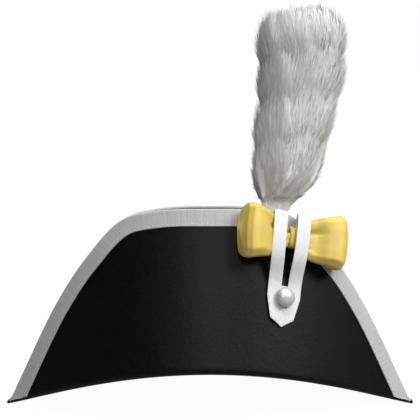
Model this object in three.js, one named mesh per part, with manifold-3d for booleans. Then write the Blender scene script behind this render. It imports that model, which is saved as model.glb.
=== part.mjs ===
// A bicorne hat of black felt with white galloon, a padded yellow bow under a white loop and button,
// and an upright white feather plume. Millimetres, +Z up. The hat is modelled upright, as it is worn,
// with its two horn tips at height 0, and is then leaned back the way it rests on a table.
import * as THREE from 'three';
import Module from 'manifold-3d';
import { mergeVertices } from 'three/addons/utils/BufferGeometryUtils.js';

const wasm = await Module();
wasm.setup();

// Driving dimensions of the felt
const HAT_WIDTH = 460; // from horn tip to horn tip
const FLAP_HEIGHT = 222; // top edge of the front flap above the horn tips
const BACK_DROP = 2; // how much lower the back flap's top edge is
const FRONT_ARCH = 46.5; // how far the front fold rises above the horn tips
const TOP_GAP = 127; // between the two flaps at the middle of their top edges
const HEAD_LENGTH = 200; // head opening, front to back
const HEAD_BREADTH = 164; // head opening, side to side
const CROWN_TOP = 160; // top of the crown above the horn tips
const FELT = 2.5; // thickness of the felt
const FOLD_RADIUS = 6; // outer radius where the brim turns up, beside the head
const HORN_SHARPNESS = 0.45; // share of that radius left at the horns
const FOLD_EASE = 1.7; // felt left between the crown's seat and the turned-up wall
const HORN_END_WIDTH = 11; // blunt end of a horn
const HORN_END_HEIGHT = 3;
const BOAT_FULLNESS = 1.2; // how full the fold lines are between head and horns
const REST_LEAN = THREE.MathUtils.degToRad(11); // how far the hat leans back when it is put down
const REST_FLAT = 1; // depth of felt pressed flat where it rests
const CLEARANCE = 0.3; // between pieces that touch

// Driving dimensions of the trimmings
const GALLOON_FACE = 18; // width of the white galloon on the outer face of a flap
const GALLOON_TURN = 12; // and of the part turned over to the inner face
const GALLOON = 1.5; // its thickness
const GALLOON_STOP = 0.9; // how far up the fold's curve it stops, as a share of the fold's radius
const BOW_LENGTH = 126;
const BOW_HEIGHT = 61; // at the outer ends of its loops
const BOW_DEPTH = 27; // at the fattest part of a loop
const BOW_SEAT = 2.9; // between the galloon and the back of the bow
const BOW_ROUNDING = [0.85, 0.55]; // of its section at the waist and at the ends: 1 is round, 0 is square
const KNOT_WIDTH = 9;
const KNOT_WRAP = 2; // thickness of the band that makes the knot
const LOOP_LEG = 15.6; // width of each leg of the white loop
const LOOP_BAND = 2; // its thickness
const LOOP_SLIT = 8; // between the legs at the button
const LOOP_SPREAD = 12.5; // between the legs over the bow
const LOOP_DROP = 98.5; // from the middle of the bow to the point
const LOOP_RISE = 28.5; // from the middle of the bow to the top of the loop
const LOOP_JOIN = 2; // between the button's rim and the end of the slit
const LOOP_PART = 0.56; // share of its drop where the legs start to part
const LOOP_POINT = 8.5; // height of the pointed end
const LOOP_TAPER = 0.7; // share of its width left above the point
const LOOP_SKEW = 0.3; // how far it is drawn sideways for each millimetre that it stands off the flap
const BUTTON_DIAMETER = 21.5;
const BUTTON_HEIGHT = 9.5;
const BUTTON_RIM = 1.5; // height of its widest part
const BUTTON_BACK = 18; // diameter of its flat back
const BUTTON_DROP = 66; // from the middle of the bow to the button
const COCKADE_ACROSS = 85.5; // where the bow is sewn, from the middle of the hat
const COCKADE_DROP = 32; // and below the top edge of the front flap
const BOW_TILT = THREE.MathUtils.degToRad(-9.5); // its right end is the lower one
const LOOP_TILT = THREE.MathUtils.degToRad(-11.5);
const PLUME_HEIGHT = 243;
const PLUME_WIDTH = 97;
const PLUME_DEPTH = 78;
const PLUME_ACROSS = 75; // foot of the plume, from the middle of the hat
const PLUME_FOOT_DROP = 30; // and below the top edge of the front flap
const STEM_DIAMETER = 4;
const STEM_LENGTH = 110;
const STEM_IN_PLUME = 55;
const SOCKET_WALL = 1.6;
const SOCKET_SEAM = 4; // the sewn edge on each side of the sleeve
const SOCKET_LENGTH = 54;
const SOCKET_BELOW = 3; // between the plume's foot and the top of the sleeve

// Outline of a flap, from a horn tip to the middle of the top edge
const FLAP_OUTLINE = [
  { across: 1, up: HORN_END_HEIGHT / FLAP_HEIGHT },
  { across: 0.975, up: 0.027 },
  { across: 0.932, up: 0.114 },
  { across: 0.744, up: 0.5126 },
  { across: 0.594, up: 0.7505 },
  { across: 0.42, up: 0.942 },
  { across: 0.248, up: 0.99 },
  { across: 0, up: 1 },
];
// The crown's wall from its foot to its top: its reach as a share of the head opening
const CROWN_PROFILE = [
  { up: 0, long: 1, broad: 1 },
  { up: 0.18, long: 0.935, broad: 0.985 },
  { up: 0.38, long: 0.87, broad: 0.95 },
  { up: 0.58, long: 0.785, broad: 0.88 },
  { up: 0.78, long: 0.635, broad: 0.73 },
  { up: 0.92, long: 0.42, broad: 0.5 },
  { up: 1, long: 0.15, broad: 0.15 },
];
// One loop of the bow from its waist to its outer end: height and depth as shares of the bow's own
const BOW_PROFILE = [
  { along: 0, high: 0.31, deep: 0.38 },
  { along: 0.075, high: 0.33, deep: 0.38 },
  { along: 0.16, high: 0.55, deep: 0.43 },
  { along: 0.27, high: 0.7, deep: 0.47 },
  { along: 0.43, high: 0.8, deep: 0.56 },
  { along: 0.58, high: 0.87, deep: 0.84 },
  { along: 0.74, high: 0.94, deep: 1 },
  { along: 0.88, high: 1, deep: 0.98 },
  { along: 0.96, high: 0.97, deep: 0.8 },
  { along: 1, high: 0.86, deep: 0.46 },
];
// The knot's band from its left edge to its right, as shares of its half width and its thickness
const KNOT_SECTION = [
  { across: -1, thick: 0.6 },
  { across: -0.72, thick: 1 },
  { across: 0.72, thick: 1 },
  { across: 1, thick: 0.6 },
];
// The inner face of the loop seen from the side, from its pointed end up over the bow and down behind
// it: up as a share of its drop below the bow's middle or its rise above it, out as a share of the bow's
// depth
const LOOP_PROFILE = [
  { up: -1, out: 0.02 },
  { up: -0.55, out: 0.02 },
  { up: -0.44, out: 0.15 },
  { up: -0.25, out: 0.56 },
  { up: -0.1, out: 0.7 },
  { up: 0.25, out: 0.75 },
  { up: 0.62, out: 0.72 },
  { up: 0.9, out: 0.53 },
  { up: 0.96, out: 0.28 },
  { up: 0.8, out: 0.11 },
  { up: 0.45, out: 0.09 },
];
// The plume from its foot to its top: how far it sways across and nods forward, and its half width
// and half depth, as shares of its width and depth
const PLUME_PROFILE = [
  { up: 0, sway: 0, nod: 0, wide: 0.06, deep: 0.05 },
  { up: 0.07, sway: 0, nod: 0, wide: 0.13, deep: 0.05 },
  { up: 0.145, sway: 0.04, nod: 0, wide: 0.2, deep: 0.055 },
  { up: 0.19, sway: 0.1, nod: 0, wide: 0.25, deep: 0.17 },
  { up: 0.25, sway: 0.165, nod: 0.01, wide: 0.3, deep: 0.28 },
  { up: 0.38, sway: 0.225, nod: 0.05, wide: 0.355, deep: 0.37 },
  { up: 0.5, sway: 0.295, nod: 0.1, wide: 0.38, deep: 0.41 },
  { up: 0.62, sway: 0.365, nod: 0.16, wide: 0.405, deep: 0.43 },
  { up: 0.77, sway: 0.42, nod: 0.25, wide: 0.45, deep: 0.45 },
  { up: 0.91, sway: 0.425, nod: 0.34, wide: 0.45, deep: 0.44 },
  { up: 0.966, sway: 0.425, nod: 0.38, wide: 0.43, deep: 0.38 },
  { up: 1, sway: 0.42, nod: 0.4, wide: 0.34, deep: 0.28 },
];
// Rows of feather locks up the plume: where their feet are, how long they are and how many go round
const PLUME_LOCKS = [
  { up: 0.18, long: 0.24, count: 5 },
  { up: 0.36, long: 0.26, count: 6 },
  { up: 0.56, long: 0.26, count: 7 },
  { up: 0.76, long: 0.24, count: 7 },
];
// One lock from its foot to its tip
const LOCK_PROFILE = [
  { broad: 0.75, thick: 0.6 },
  { broad: 1, thick: 1 },
  { broad: 0.8, thick: 0.8 },
  { broad: 0.25, thick: 0.3 },
];
const LOCK_OVERLAP = 1.35; // breadth of a lock as a share of the room it has
const LOCK_THICKNESS = 0.3; // share of the plume's half depth
const LOCK_LIFT = [0.8, 1.02]; // how far out a lock's foot and tip lie, as shares of the plume's form
const PLUME_CORE = 0.93; // the core's reach, as a share of the same

// Mesh density
const EDGE_STEPS = 20; // stations from the end of a horn's galloon to the middle
const HORN_STEPS = [0.004, 0.014]; // shares of the outline's length from a horn tip to the first of them
const WALL_STEPS = 4;
const FOLD_STEPS = 4;
const SOLE_STEPS = 3;
const HEAD_STEPS = 32;
const HALVINGS = 12;
const LOOP_STEPS = 26;
const BOW_SIDES = 16;
const BUTTON_SIDES = 16;
const CORE_SIDES = 12;
const LOCK_SIDES = 5;
const STEM_SIDES = 12;
const SOCKET_SEGMENTS = 8;

const halfWidth = HAT_WIDTH / 2;
const foldHalfDepth = HEAD_LENGTH / 2 + 2 * FELT + CLEARANCE + FOLD_EASE;
const midFold = FOLD_RADIUS - FELT / 2;
const hornRadius = foldRadius(HORN_END_WIDTH / 2 - FELT / 2, HORN_END_HEIGHT - FELT / 2) + FELT / 2;

// A fold is drawn sharper where the horn is too narrow or too low for the full radius.
function foldRadius(halfDepth, height) {
  return Math.min(midFold, 0.8 * halfDepth, 0.62 * height);
}

// How low a fold reaches when the hat leans back: the lowest point of the round turn of the felt
function lowestOfFold(halfDepth, rise, radius) {
  return (rise + radius) * Math.cos(REST_LEAN) - (halfDepth - radius) * Math.sin(REST_LEAN) - radius;
}

// The hat rests along its back fold, so the lean gives that fold's rise in the middle.
const restLow = lowestOfFold(HORN_END_WIDTH / 2, 0, hornRadius);
const backArch = (restLow - lowestOfFold(foldHalfDepth, 0, FOLD_RADIUS)) / Math.cos(REST_LEAN);

const FRONT = { side: -1, arch: FRONT_ARCH, drop: 0 };
const BACK = { side: 1, arch: backArch, drop: BACK_DROP };
for (const flap of [FRONT, BACK]) {
  flap.slope = (foldHalfDepth - TOP_GAP / 2) / (FLAP_HEIGHT - flap.arch);
}

// Mesh helpers

function lerp(a, b, t) {
  return a + (b - a) * t;
}

// Value of one column of a table at a place along its first column, smooth between the rows
function smoothColumn(table, key, column, at) {
  const last = table.length - 1;
  let i = 0;
  while (i < last - 1 && at > table[i + 1][key]) i += 1;
  const slopeAt = (k) => {
    const before = table[Math.max(k - 1, 0)];
    const after = table[Math.min(k + 1, last)];
    return (after[column] - before[column]) / (after[key] - before[key]);
  };
  const [a, b] = [table[i], table[i + 1]];
  const span = b[key] - a[key];
  const t = THREE.MathUtils.clamp((at - a[key]) / span, 0, 1);
  const [t2, t3] = [t * t, t * t * t];
  return (
    (2 * t3 - 3 * t2 + 1) * a[column] +
    (t3 - 2 * t2 + t) * span * slopeAt(i) +
    (3 * t2 - 2 * t3) * b[column] +
    (t3 - t2) * span * slopeAt(i + 1)
  );
}

function geometryFrom(points, triangles) {
  const geometry = new THREE.BufferGeometry();
  const numbers = points.flatMap((p) => [p.x, p.y, p.z]);
  geometry.setAttribute('position', new THREE.Float32BufferAttribute(numbers, 3));
  geometry.setIndex(triangles.flat());
  return geometry;
}

// A wall between two grids of points, closed along all four borders
function thickShell(outer, inner) {
  const [rows, columns] = [outer.length, outer[0].length];
  const points = [...outer.flat(), ...inner.flat()];
  const at = (side, i, j) => side * rows * columns + i * columns + j;
  const triangles = [];
  const quad = (a, b, c, d) => triangles.push([a, b, c], [a, c, d]);
  for (let i = 0; i < rows - 1; i += 1) {
    for (let j = 0; j < columns - 1; j += 1) {
      quad(at(0, i, j), at(0, i + 1, j), at(0, i + 1, j + 1), at(0, i, j + 1));
      quad(at(1, i, j), at(1, i, j + 1), at(1, i + 1, j + 1), at(1, i + 1, j));
    }
    quad(at(0, i, 0), at(1, i, 0), at(1, i + 1, 0), at(0, i + 1, 0));
    const last = columns - 1;
    quad(at(0, i, last), at(0, i + 1, last), at(1, i + 1, last), at(1, i, last));
  }
  for (let j = 0; j < columns - 1; j += 1) {
    quad(at(0, 0, j), at(0, 0, j + 1), at(1, 0, j + 1), at(1, 0, j));
    quad(at(0, rows - 1, j), at(1, rows - 1, j), at(1, rows - 1, j + 1), at(0, rows - 1, j + 1));
  }
  return geometryFrom(points, triangles);
}

// A solid through closed rings of points, with a fan over each end
function loft(rings) {
  const count = rings[0].length;
  const points = rings.flat();
  const triangles = [];
  for (let i = 0; i < rings.length - 1; i += 1) {
    for (let j = 0; j < count; j += 1) {
      const [a, b] = [i * count + j, i * count + ((j + 1) % count)];
      triangles.push([a, b, b + count], [a, b + count, a + count]);
    }
  }
  for (const [ring, start] of [[rings[0], 0], [rings.at(-1), (rings.length - 1) * count]]) {
    const middle = ring.reduce((sum, p) => sum.add(p), new THREE.Vector3()).divideScalar(count);
    points.push(middle);
    for (let j = 0; j < count; j += 1) {
      const [a, b] = [start + j, start + ((j + 1) % count)];
      triangles.push(start === 0 ? [points.length - 1, b, a] : [points.length - 1, a, b]);
    }
  }
  return geometryFrom(points, triangles);
}

function solidFrom(geometry) {
  const bare = geometry.clone();
  bare.deleteAttribute('normal');
  bare.deleteAttribute('uv');
  const merged = mergeVertices(bare, 1e-4);
  const mesh = new wasm.Mesh({
    numProp: 3,
    vertProperties: merged.attributes.position.array,
    triVerts: new Uint32Array(merged.index.array),
  });
  const solid = new wasm.Manifold(mesh);
  return solid.volume() < 0 ? insideOut(mesh) : solid;
}

function insideOut(mesh) {
  const flipped = mesh.triVerts.slice();
  for (let i = 0; i < flipped.length; i += 3) {
    [flipped[i], flipped[i + 1]] = [flipped[i + 1], flipped[i]];
  }
  const turned = { numProp: 3, vertProperties: mesh.vertProperties, triVerts: flipped };
  return new wasm.Manifold(new wasm.Mesh(turned));
}

// The feathers are solid all through: hollows left between locks are filled.
function withoutHollows(solid) {
  return wasm.Manifold.union(solid.decompose().filter((piece) => piece.volume() > 0));
}

function geometryOf(solid) {
  const mesh = solid.getMesh();
  const geometry = new THREE.BufferGeometry();
  geometry.setAttribute('position', new THREE.Float32BufferAttribute(mesh.vertProperties, 3));
  geometry.setIndex([...mesh.triVerts]);
  geometry.computeVertexNormals();
  return geometry;
}

// The felt brim: a boat with upright walls, its section drawn at each place across the hat

function boat(x) {
  return (1 - Math.min(1, (x / halfWidth) ** 2)) ** BOAT_FULLNESS;
}

const leftOutline = FLAP_OUTLINE.map(
  ({ across, up }) => new THREE.Vector3(-across * halfWidth, 0, up * FLAP_HEIGHT),
);
const rightOutline = leftOutline
  .slice(0, -1)
  .reverse()
  .map((p) => new THREE.Vector3(-p.x, 0, p.z));
const outlineCurve = new THREE.CatmullRomCurve3([...leftOutline, ...rightOutline], false, 'centripetal');
const stationShares = Array.from({ length: EDGE_STEPS }, (_, k) =>
  lerp(HORN_STEPS[1], 0.5, (k + 1) / EDGE_STEPS),
);
const leftShares = [0, ...HORN_STEPS, ...stationShares];
const rightShares = leftShares
  .slice(0, -1)
  .reverse()
  .map((share) => 1 - share);
const outline = [...leftShares, ...rightShares].map((share) => outlineCurve.getPointAt(share));

// The middle of the felt at one place across the hat: half depth, fold radius and fold height
function foldAt(flap, x, top) {
  const halfDepth = lerp(HORN_END_WIDTH / 2, foldHalfDepth, boat(x)) - FELT / 2;
  const low = flap.arch * boat(x) + FELT / 2;
  const widest = midFold * lerp(HORN_SHARPNESS, 1, Math.sqrt(boat(x)));
  return { halfDepth, low, radius: Math.min(widest, foldRadius(halfDepth, top - low)) };
}

function topHeight(flap, x) {
  let i = 0;
  while (i < outline.length - 2 && outline[i + 1].x < x) i += 1;
  const [a, b] = [outline[i], outline[i + 1]];
  return lerp(a.z, b.z, THREE.MathUtils.clamp((x - a.x) / (b.x - a.x), 0, 1)) - flap.drop * boat(x);
}

// Half depth of a flap's wall at a height, measured to the middle of the felt
function wallDepth(flap, x, z) {
  const { halfDepth, low, radius } = foldAt(flap, x, topHeight(flap, x));
  const lean = Math.atan(flap.slope);
  const bend = low + radius + radius * Math.sin(lean);
  if (z >= bend) return halfDepth - radius + radius * Math.cos(lean) - (z - bend) * flap.slope;
  const drop = Math.min(low + radius - z, radius * 0.98);
  return halfDepth - radius + Math.sqrt(radius * radius - drop * drop);
}

// A point on a flap, moved off the middle of the felt along its outward normal
function wallPoint(flap, x, z, off) {
  const step = 0.5;
  const depth = wallDepth(flap, x, z);
  const across = (wallDepth(flap, x + step, z) - wallDepth(flap, x - step, z)) / (2 * step);
  const up = (wallDepth(flap, x, z + step) - wallDepth(flap, x, z - step)) / (2 * step);
  const normal = new THREE.Vector3(-across, flap.side, -up).normalize();
  return { point: new THREE.Vector3(x, flap.side * depth, z).addScaledVector(normal, off), normal };
}

// The section of the felt at one station, from the front top edge down and round to the back top edge
function feltSection(station) {
  const { x } = station;
  const lean = (flap) => Math.atan(flap.slope);
  const half = (flap) => {
    const top = station.z - flap.drop * boat(x);
    const { halfDepth, low, radius } = foldAt(flap, x, top);
    const points = [];
    const [s, c] = [Math.sin(lean(flap)), Math.cos(lean(flap))];
    const centre = { y: halfDepth - radius, z: low + radius };
    const bend = { y: centre.y + radius * c, z: centre.z + radius * s };
    const height = Math.max(top - bend.z, 0.2);
    for (let k = 0; k < WALL_STEPS; k += 1) {
      const up = height * (1 - k / WALL_STEPS);
      points.push(new THREE.Vector3(x, flap.side * (bend.y - up * flap.slope), bend.z + up));
    }
    for (let k = 0; k <= FOLD_STEPS; k += 1) {
      const angle = lerp(lean(flap), -Math.PI / 2, k / FOLD_STEPS);
      const [y, z] = [centre.y + radius * Math.cos(angle), centre.z + radius * Math.sin(angle)];
      points.push(new THREE.Vector3(x, flap.side * y, z));
    }
    return points;
  };
  const [front, back] = [half(FRONT), half(BACK).reverse()];
  const sole = [];
  for (let k = 1; k < SOLE_STEPS; k += 1) sole.push(front.at(-1).clone().lerp(back[0], k / SOLE_STEPS));
  return [...front, ...sole, ...back];
}

function offsetGrid(grid, off) {
  const last = { row: grid.length - 1, column: grid[0].length - 1 };
  return grid.map((row, i) =>
    row.map((point, j) => {
      const along = grid[Math.min(i + 1, last.row)][j].clone().sub(grid[Math.max(i - 1, 0)][j]);
      const across = row[Math.min(j + 1, last.column)].clone().sub(row[Math.max(j - 1, 0)]);
      return point.clone().addScaledVector(along.cross(across).normalize(), off);
    }),
  );
}

// Height of the underside of the brim, which the head opening follows
function soleHeight(x, y) {
  const { halfDepth, radius } = foldAt(FRONT, x, topHeight(FRONT, x));
  const flat = halfDepth - radius;
  const [front, back] = [FRONT.arch * boat(x), BACK.arch * boat(x)];
  const past = Math.max(Math.abs(y) - flat, 0);
  const outer = radius + FELT / 2;
  const rise = past > 0 ? outer - Math.sqrt(Math.max(outer * outer - past * past, 0)) : 0;
  return lerp(front, back, THREE.MathUtils.clamp((y + flat) / (2 * flat), 0, 1)) + rise;
}

function headRing(gap, height) {
  const ring = [];
  for (let k = 0; k < HEAD_STEPS; k += 1) {
    const angle = (2 * Math.PI * k) / HEAD_STEPS;
    const x = (HEAD_BREADTH / 2 + gap) * Math.cos(angle);
    const y = (HEAD_LENGTH / 2 + gap) * Math.sin(angle);
    ring.push(new THREE.Vector3(x, y, height(x, y)));
  }
  return ring;
}

// What lies under the floor when the hat leans back at rest: the felt is pressed flat there.
function floorBlock() {
  const block = new THREE.BoxGeometry(2 * HAT_WIDTH, 2 * HAT_WIDTH, HAT_WIDTH);
  block.translate(0, 0, restLow + REST_FLAT - HAT_WIDTH / 2);
  block.rotateX(REST_LEAN);
  return solidFrom(block);
}

function makeBrim() {
  const grid = outline.map(feltSection);
  const felt = solidFrom(thickShell(offsetGrid(grid, -FELT / 2), offsetGrid(grid, FELT / 2)));
  const gap = FELT + CLEARANCE;
  const above = (x, y) => soleHeight(x, y) + FOLD_RADIUS;
  const opening = loft([headRing(gap, () => -HAT_WIDTH), headRing(gap, above)]);
  return geometryOf(felt.subtract(solidFrom(opening)).subtract(floorBlock()));
}

function crownShell(wall, sink) {
  const foot = headRing(wall, soleHeight);
  const top = CROWN_TOP - FELT + wall;
  const rings = CROWN_PROFILE.map((row) =>
    foot.map((p) => new THREE.Vector3(p.x * row.broad, p.y * row.long, lerp(p.z - sink, top, row.up))),
  );
  return solidFrom(loft(rings));
}

function makeCrown() {
  return geometryOf(crownShell(FELT, 0).subtract(crownShell(0, FELT)).subtract(floorBlock()));
}

// The galloon: a strip folded over the edge of a flap, its section as distance in from the edge and offset
const felted = FELT / 2 + CLEARANCE;
const faced = felted + GALLOON;
const beyondEdge = -CLEARANCE - GALLOON;
const shoulder = { within: -CLEARANCE - 0.75 * GALLOON, off: 0.7 * faced };
const GALLOON_SECTION = {
  outer: [
    { within: GALLOON_FACE, off: faced },
    { within: GALLOON_FACE / 2, off: faced },
    { within: 0, off: faced },
    shoulder,
    { within: beyondEdge, off: 0 },
    { within: shoulder.within, off: -shoulder.off },
    { within: 0, off: -faced },
    { within: GALLOON_TURN, off: -faced },
  ],
  inner: [
    { within: GALLOON_FACE, off: felted },
    { within: GALLOON_FACE / 2, off: felted },
    { within: 0, off: felted },
    { within: -CLEARANCE, off: felted },
    { within: -CLEARANCE, off: 0 },
    { within: -CLEARANCE, off: -felted },
    { within: 0, off: -felted },
    { within: GALLOON_TURN, off: -felted },
  ],
};

// Which way lies inwards from the outline at each station, in the flap's own surface
function inwards(i) {
  const [before, after] = [outline[Math.max(i - 1, 0)], outline[Math.min(i + 1, outline.length - 1)]];
  const along = after.clone().sub(before).normalize();
  return new THREE.Vector3(along.z, 0, -along.x);
}

function galloonPoint(flap, station, direction, { within, off }) {
  const step = 0.5;
  const depthBy = wallDepth(flap, station.x + direction.x * step, station.z + direction.z * step);
  const fall = (depthBy - wallDepth(flap, station.x, station.z)) / step;
  const inward = new THREE.Vector3(direction.x, flap.side * fall, direction.z).normalize();
  if (within <= 0) return wallPoint(flap, station.x, station.z, off).point.addScaledVector(inward, within);
  const flat = Math.hypot(inward.x, inward.z);
  const place = (distance) => [
    station.x + direction.x * distance * flat,
    station.z + direction.z * distance * flat,
  ];
  const aboveFold = (distance) => {
    const [x, z] = place(distance);
    const { low, radius } = foldAt(flap, x, topHeight(flap, x));
    return z >= low + GALLOON_STOP * radius;
  };
  let [reach, beyond] = [0, within];
  if (aboveFold(within)) reach = within;
  for (let k = 0; k < HALVINGS && reach < within; k += 1) {
    const middle = (reach + beyond) / 2;
    if (aboveFold(middle)) reach = middle;
    else beyond = middle;
  }
  return wallPoint(flap, ...place(reach), off).point;
}

function makeGalloon(flap) {
  const rows = { outer: [], inner: [] };
  outline.slice(1, -1).forEach((edge, k) => {
    const station = { x: edge.x, z: topHeight(flap, edge.x) };
    const direction = inwards(k + 1);
    for (const face of ['outer', 'inner']) {
      const section = GALLOON_SECTION[face];
      rows[face].push(section.map((place) => galloonPoint(flap, station, direction, place)));
    }
  });
  return geometryOf(solidFrom(thickShell(rows.outer, rows.inner)));
}

// The bow: two padded loops of one ribbon, drawn in through the knot at its waist

// A ring at one place along the bow, with the section it has at another, squarer towards the ends
function bowRing(place, at, grow) {
  const high = smoothColumn(BOW_PROFILE, 'along', 'high', at) * BOW_HEIGHT * 0.5;
  const deep = smoothColumn(BOW_PROFILE, 'along', 'deep', at) * BOW_DEPTH * 0.5;
  const power = lerp(...BOW_ROUNDING, Math.min(1, at * 1.6));
  const rounded = (value) => Math.sign(value) * Math.abs(value) ** power;
  const ring = [];
  for (let k = 0; k < BOW_SIDES; k += 1) {
    const angle = (2 * Math.PI * k) / BOW_SIDES;
    const y = (high + grow) * rounded(Math.sin(angle));
    const z = BOW_SEAT + deep + (deep + grow) * rounded(Math.cos(angle));
    ring.push(new THREE.Vector3((place * BOW_LENGTH) / 2, y, z));
  }
  return ring;
}

function makeBow() {
  const right = BOW_PROFILE.map(({ along }) => bowRing(along, along, 0));
  const left = BOW_PROFILE.slice(1).map(({ along }) => bowRing(-along, along, 0)).reverse();
  return geometryOf(solidFrom(loft([...left, ...right])));
}

function makeKnot() {
  const edge = KNOT_WIDTH / BOW_LENGTH;
  const gap = 1.5 * CLEARANCE;
  const band = KNOT_SECTION.map(({ across, thick }) => bowRing(across * edge, edge, gap + thick * KNOT_WRAP));
  const bore = [-2, 2].map((across) => bowRing(across * edge, edge, gap));
  return geometryOf(solidFrom(loft(band)).subtract(solidFrom(loft(bore))));
}

// The white loop: two legs of one band, joined at a pointed end and curved over the bow

const loopCurve = new THREE.CatmullRomCurve3(
  LOOP_PROFILE.map(
    (row) =>
      new THREE.Vector3(
        (LOOP_PROFILE[0].out - row.out) * BOW_DEPTH * LOOP_SKEW,
        row.up * (row.up < 0 ? LOOP_DROP : LOOP_RISE),
        row.out * BOW_DEPTH + CLEARANCE,
      ),
  ),
  false,
  'centripetal',
);

// A ring of the band at a share of its length, between two places across it
function bandRing(share, from, to) {
  const middle = loopCurve.getPointAt(share);
  const along = loopCurve.getTangentAt(share);
  const outward = new THREE.Vector3(0, -along.z, along.y).normalize();
  const corners = [[from, 0], [to, 0], [to, LOOP_BAND], [from, LOOP_BAND]];
  return corners.map(([x, out]) => {
    const corner = middle.clone().addScaledVector(outward, out);
    return corner.add(new THREE.Vector3(x, 0, 0));
  });
}

function makeLeg(side) {
  const rings = [];
  for (let k = 0; k <= LOOP_STEPS; k += 1) {
    const share = k / LOOP_STEPS;
    const { y } = loopCurve.getPointAt(share);
    const open = share > 0.7 ? 1 : THREE.MathUtils.smoothstep(y, LOOP_PART * -LOOP_DROP, 0);
    const slit = lerp(LOOP_SLIT, LOOP_SPREAD, open) / 2;
    rings.push(bandRing(share, side * slit, side * (slit + LOOP_LEG)));
  }
  return solidFrom(loft(rings));
}

// The pointed end, where the two legs are one
function makeEnd(halfBand, top) {
  const rings = [];
  const last = Math.ceil(LOOP_STEPS / 3);
  for (let k = 0; k <= last; k += 1) rings.push(bandRing(k / LOOP_STEPS, -halfBand, halfBand));
  const shoulder = -LOOP_DROP + LOOP_POINT;
  const half = [[LOOP_TAPER * halfBand, shoulder], [halfBand, -BUTTON_DROP], [halfBand, top]];
  const shape = new THREE.Shape([
    new THREE.Vector2(0, -LOOP_DROP),
    ...half.map(([x, y]) => new THREE.Vector2(x, y)),
    ...half.reverse().map(([x, y]) => new THREE.Vector2(-x, y)),
  ]);
  const cutter = new THREE.ExtrudeGeometry(shape, { depth: BOW_DEPTH, bevelEnabled: false });
  return solidFrom(loft(rings)).intersect(solidFrom(cutter));
}

function makeLoop() {
  const halfBand = LOOP_SLIT / 2 + LOOP_LEG;
  const top = -BUTTON_DROP + BUTTON_DIAMETER / 2 + LOOP_JOIN;
  const above = new THREE.BoxGeometry(4 * halfBand, LOOP_DROP + LOOP_RISE, 4 * BOW_DEPTH);
  above.translate(0, top + (LOOP_DROP + LOOP_RISE) / 2, 0);
  const legs = makeLeg(-1).add(makeLeg(1)).intersect(solidFrom(above));
  return geometryOf(legs.add(makeEnd(halfBand, top)));
}

function makeButton() {
  const profile = [new THREE.Vector2(0, 0), new THREE.Vector2(BUTTON_BACK / 2, 0)];
  const steps = 6;
  for (let k = 0; k < steps; k += 1) {
    const angle = (k / steps) * (Math.PI / 2);
    const height = lerp(BUTTON_RIM, BUTTON_HEIGHT, Math.sin(angle));
    profile.push(new THREE.Vector2((Math.cos(angle) ** 0.8 * BUTTON_DIAMETER) / 2, height));
  }
  profile.push(new THREE.Vector2(0, BUTTON_HEIGHT));
  return new THREE.LatheGeometry(profile, BUTTON_SIDES).rotateX(Math.PI / 2);
}

// The plume: a core of feathers with rows of locks fused to it, on a stem that stands in a sleeve

function plumeRow(up) {
  const column = (name) => smoothColumn(PLUME_PROFILE, 'up', name, up);
  return {
    middle: new THREE.Vector3(column('sway') * PLUME_WIDTH, -column('nod') * PLUME_DEPTH, up * PLUME_HEIGHT),
    wide: column('wide') * PLUME_WIDTH,
    deep: column('deep') * PLUME_DEPTH,
  };
}

function plumeRing(middle, tangent, outward, breadth, thickness, sides) {
  const ring = [];
  for (let j = 0; j < sides; j += 1) {
    const turn = (2 * Math.PI * j) / sides;
    const across = tangent.clone().multiplyScalar(breadth * Math.cos(turn));
    ring.push(middle.clone().add(across).addScaledVector(outward, thickness * Math.sin(turn)));
  }
  return ring;
}

function makeLock(row, k, stagger) {
  const angle = (2 * Math.PI * (k + stagger)) / row.count;
  const outward = new THREE.Vector3(Math.cos(angle), Math.sin(angle), 0);
  const tangent = new THREE.Vector3(-Math.sin(angle), Math.cos(angle), 0);
  const rings = LOCK_PROFILE.map(({ broad, thick }, i) => {
    const along = i / (LOCK_PROFILE.length - 1);
    const { middle, wide, deep } = plumeRow(row.up + row.long * along);
    const lift = lerp(...LOCK_LIFT, along);
    middle.add(new THREE.Vector3(outward.x * wide * lift, outward.y * deep * lift, 0));
    const breadth = ((LOCK_OVERLAP * Math.PI) / row.count) * wide * broad;
    return plumeRing(middle, tangent, outward, breadth, deep * LOCK_THICKNESS * thick, LOCK_SIDES);
  });
  return solidFrom(loft(rings));
}

function makePlume() {
  const [across, inward] = [new THREE.Vector3(1, 0, 0), new THREE.Vector3(0, 1, 0)];
  const rings = PLUME_PROFILE.map(({ up }) => {
    const { middle, wide, deep } = plumeRow(up);
    return plumeRing(middle, across, inward, PLUME_CORE * wide, PLUME_CORE * deep, CORE_SIDES);
  });
  let plume = solidFrom(loft(rings));
  PLUME_LOCKS.forEach((row, level) => {
    for (let k = 0; k < row.count; k += 1) plume = plume.add(makeLock(row, k, level % 2 ? 0.5 : 0));
  });
  const radius = STEM_DIAMETER / 2 + CLEARANCE;
  const bore = new THREE.CylinderGeometry(radius, radius, 2 * (STEM_IN_PLUME + CLEARANCE), STEM_SIDES);
  return geometryOf(withoutHollows(plume).subtract(solidFrom(bore.rotateX(Math.PI / 2))));
}

function makeStem() {
  const stem = new THREE.CylinderGeometry(STEM_DIAMETER / 2, STEM_DIAMETER / 2, STEM_LENGTH, STEM_SIDES);
  return stem.rotateX(Math.PI / 2).translate(0, 0, STEM_IN_PLUME - STEM_LENGTH / 2);
}

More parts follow.
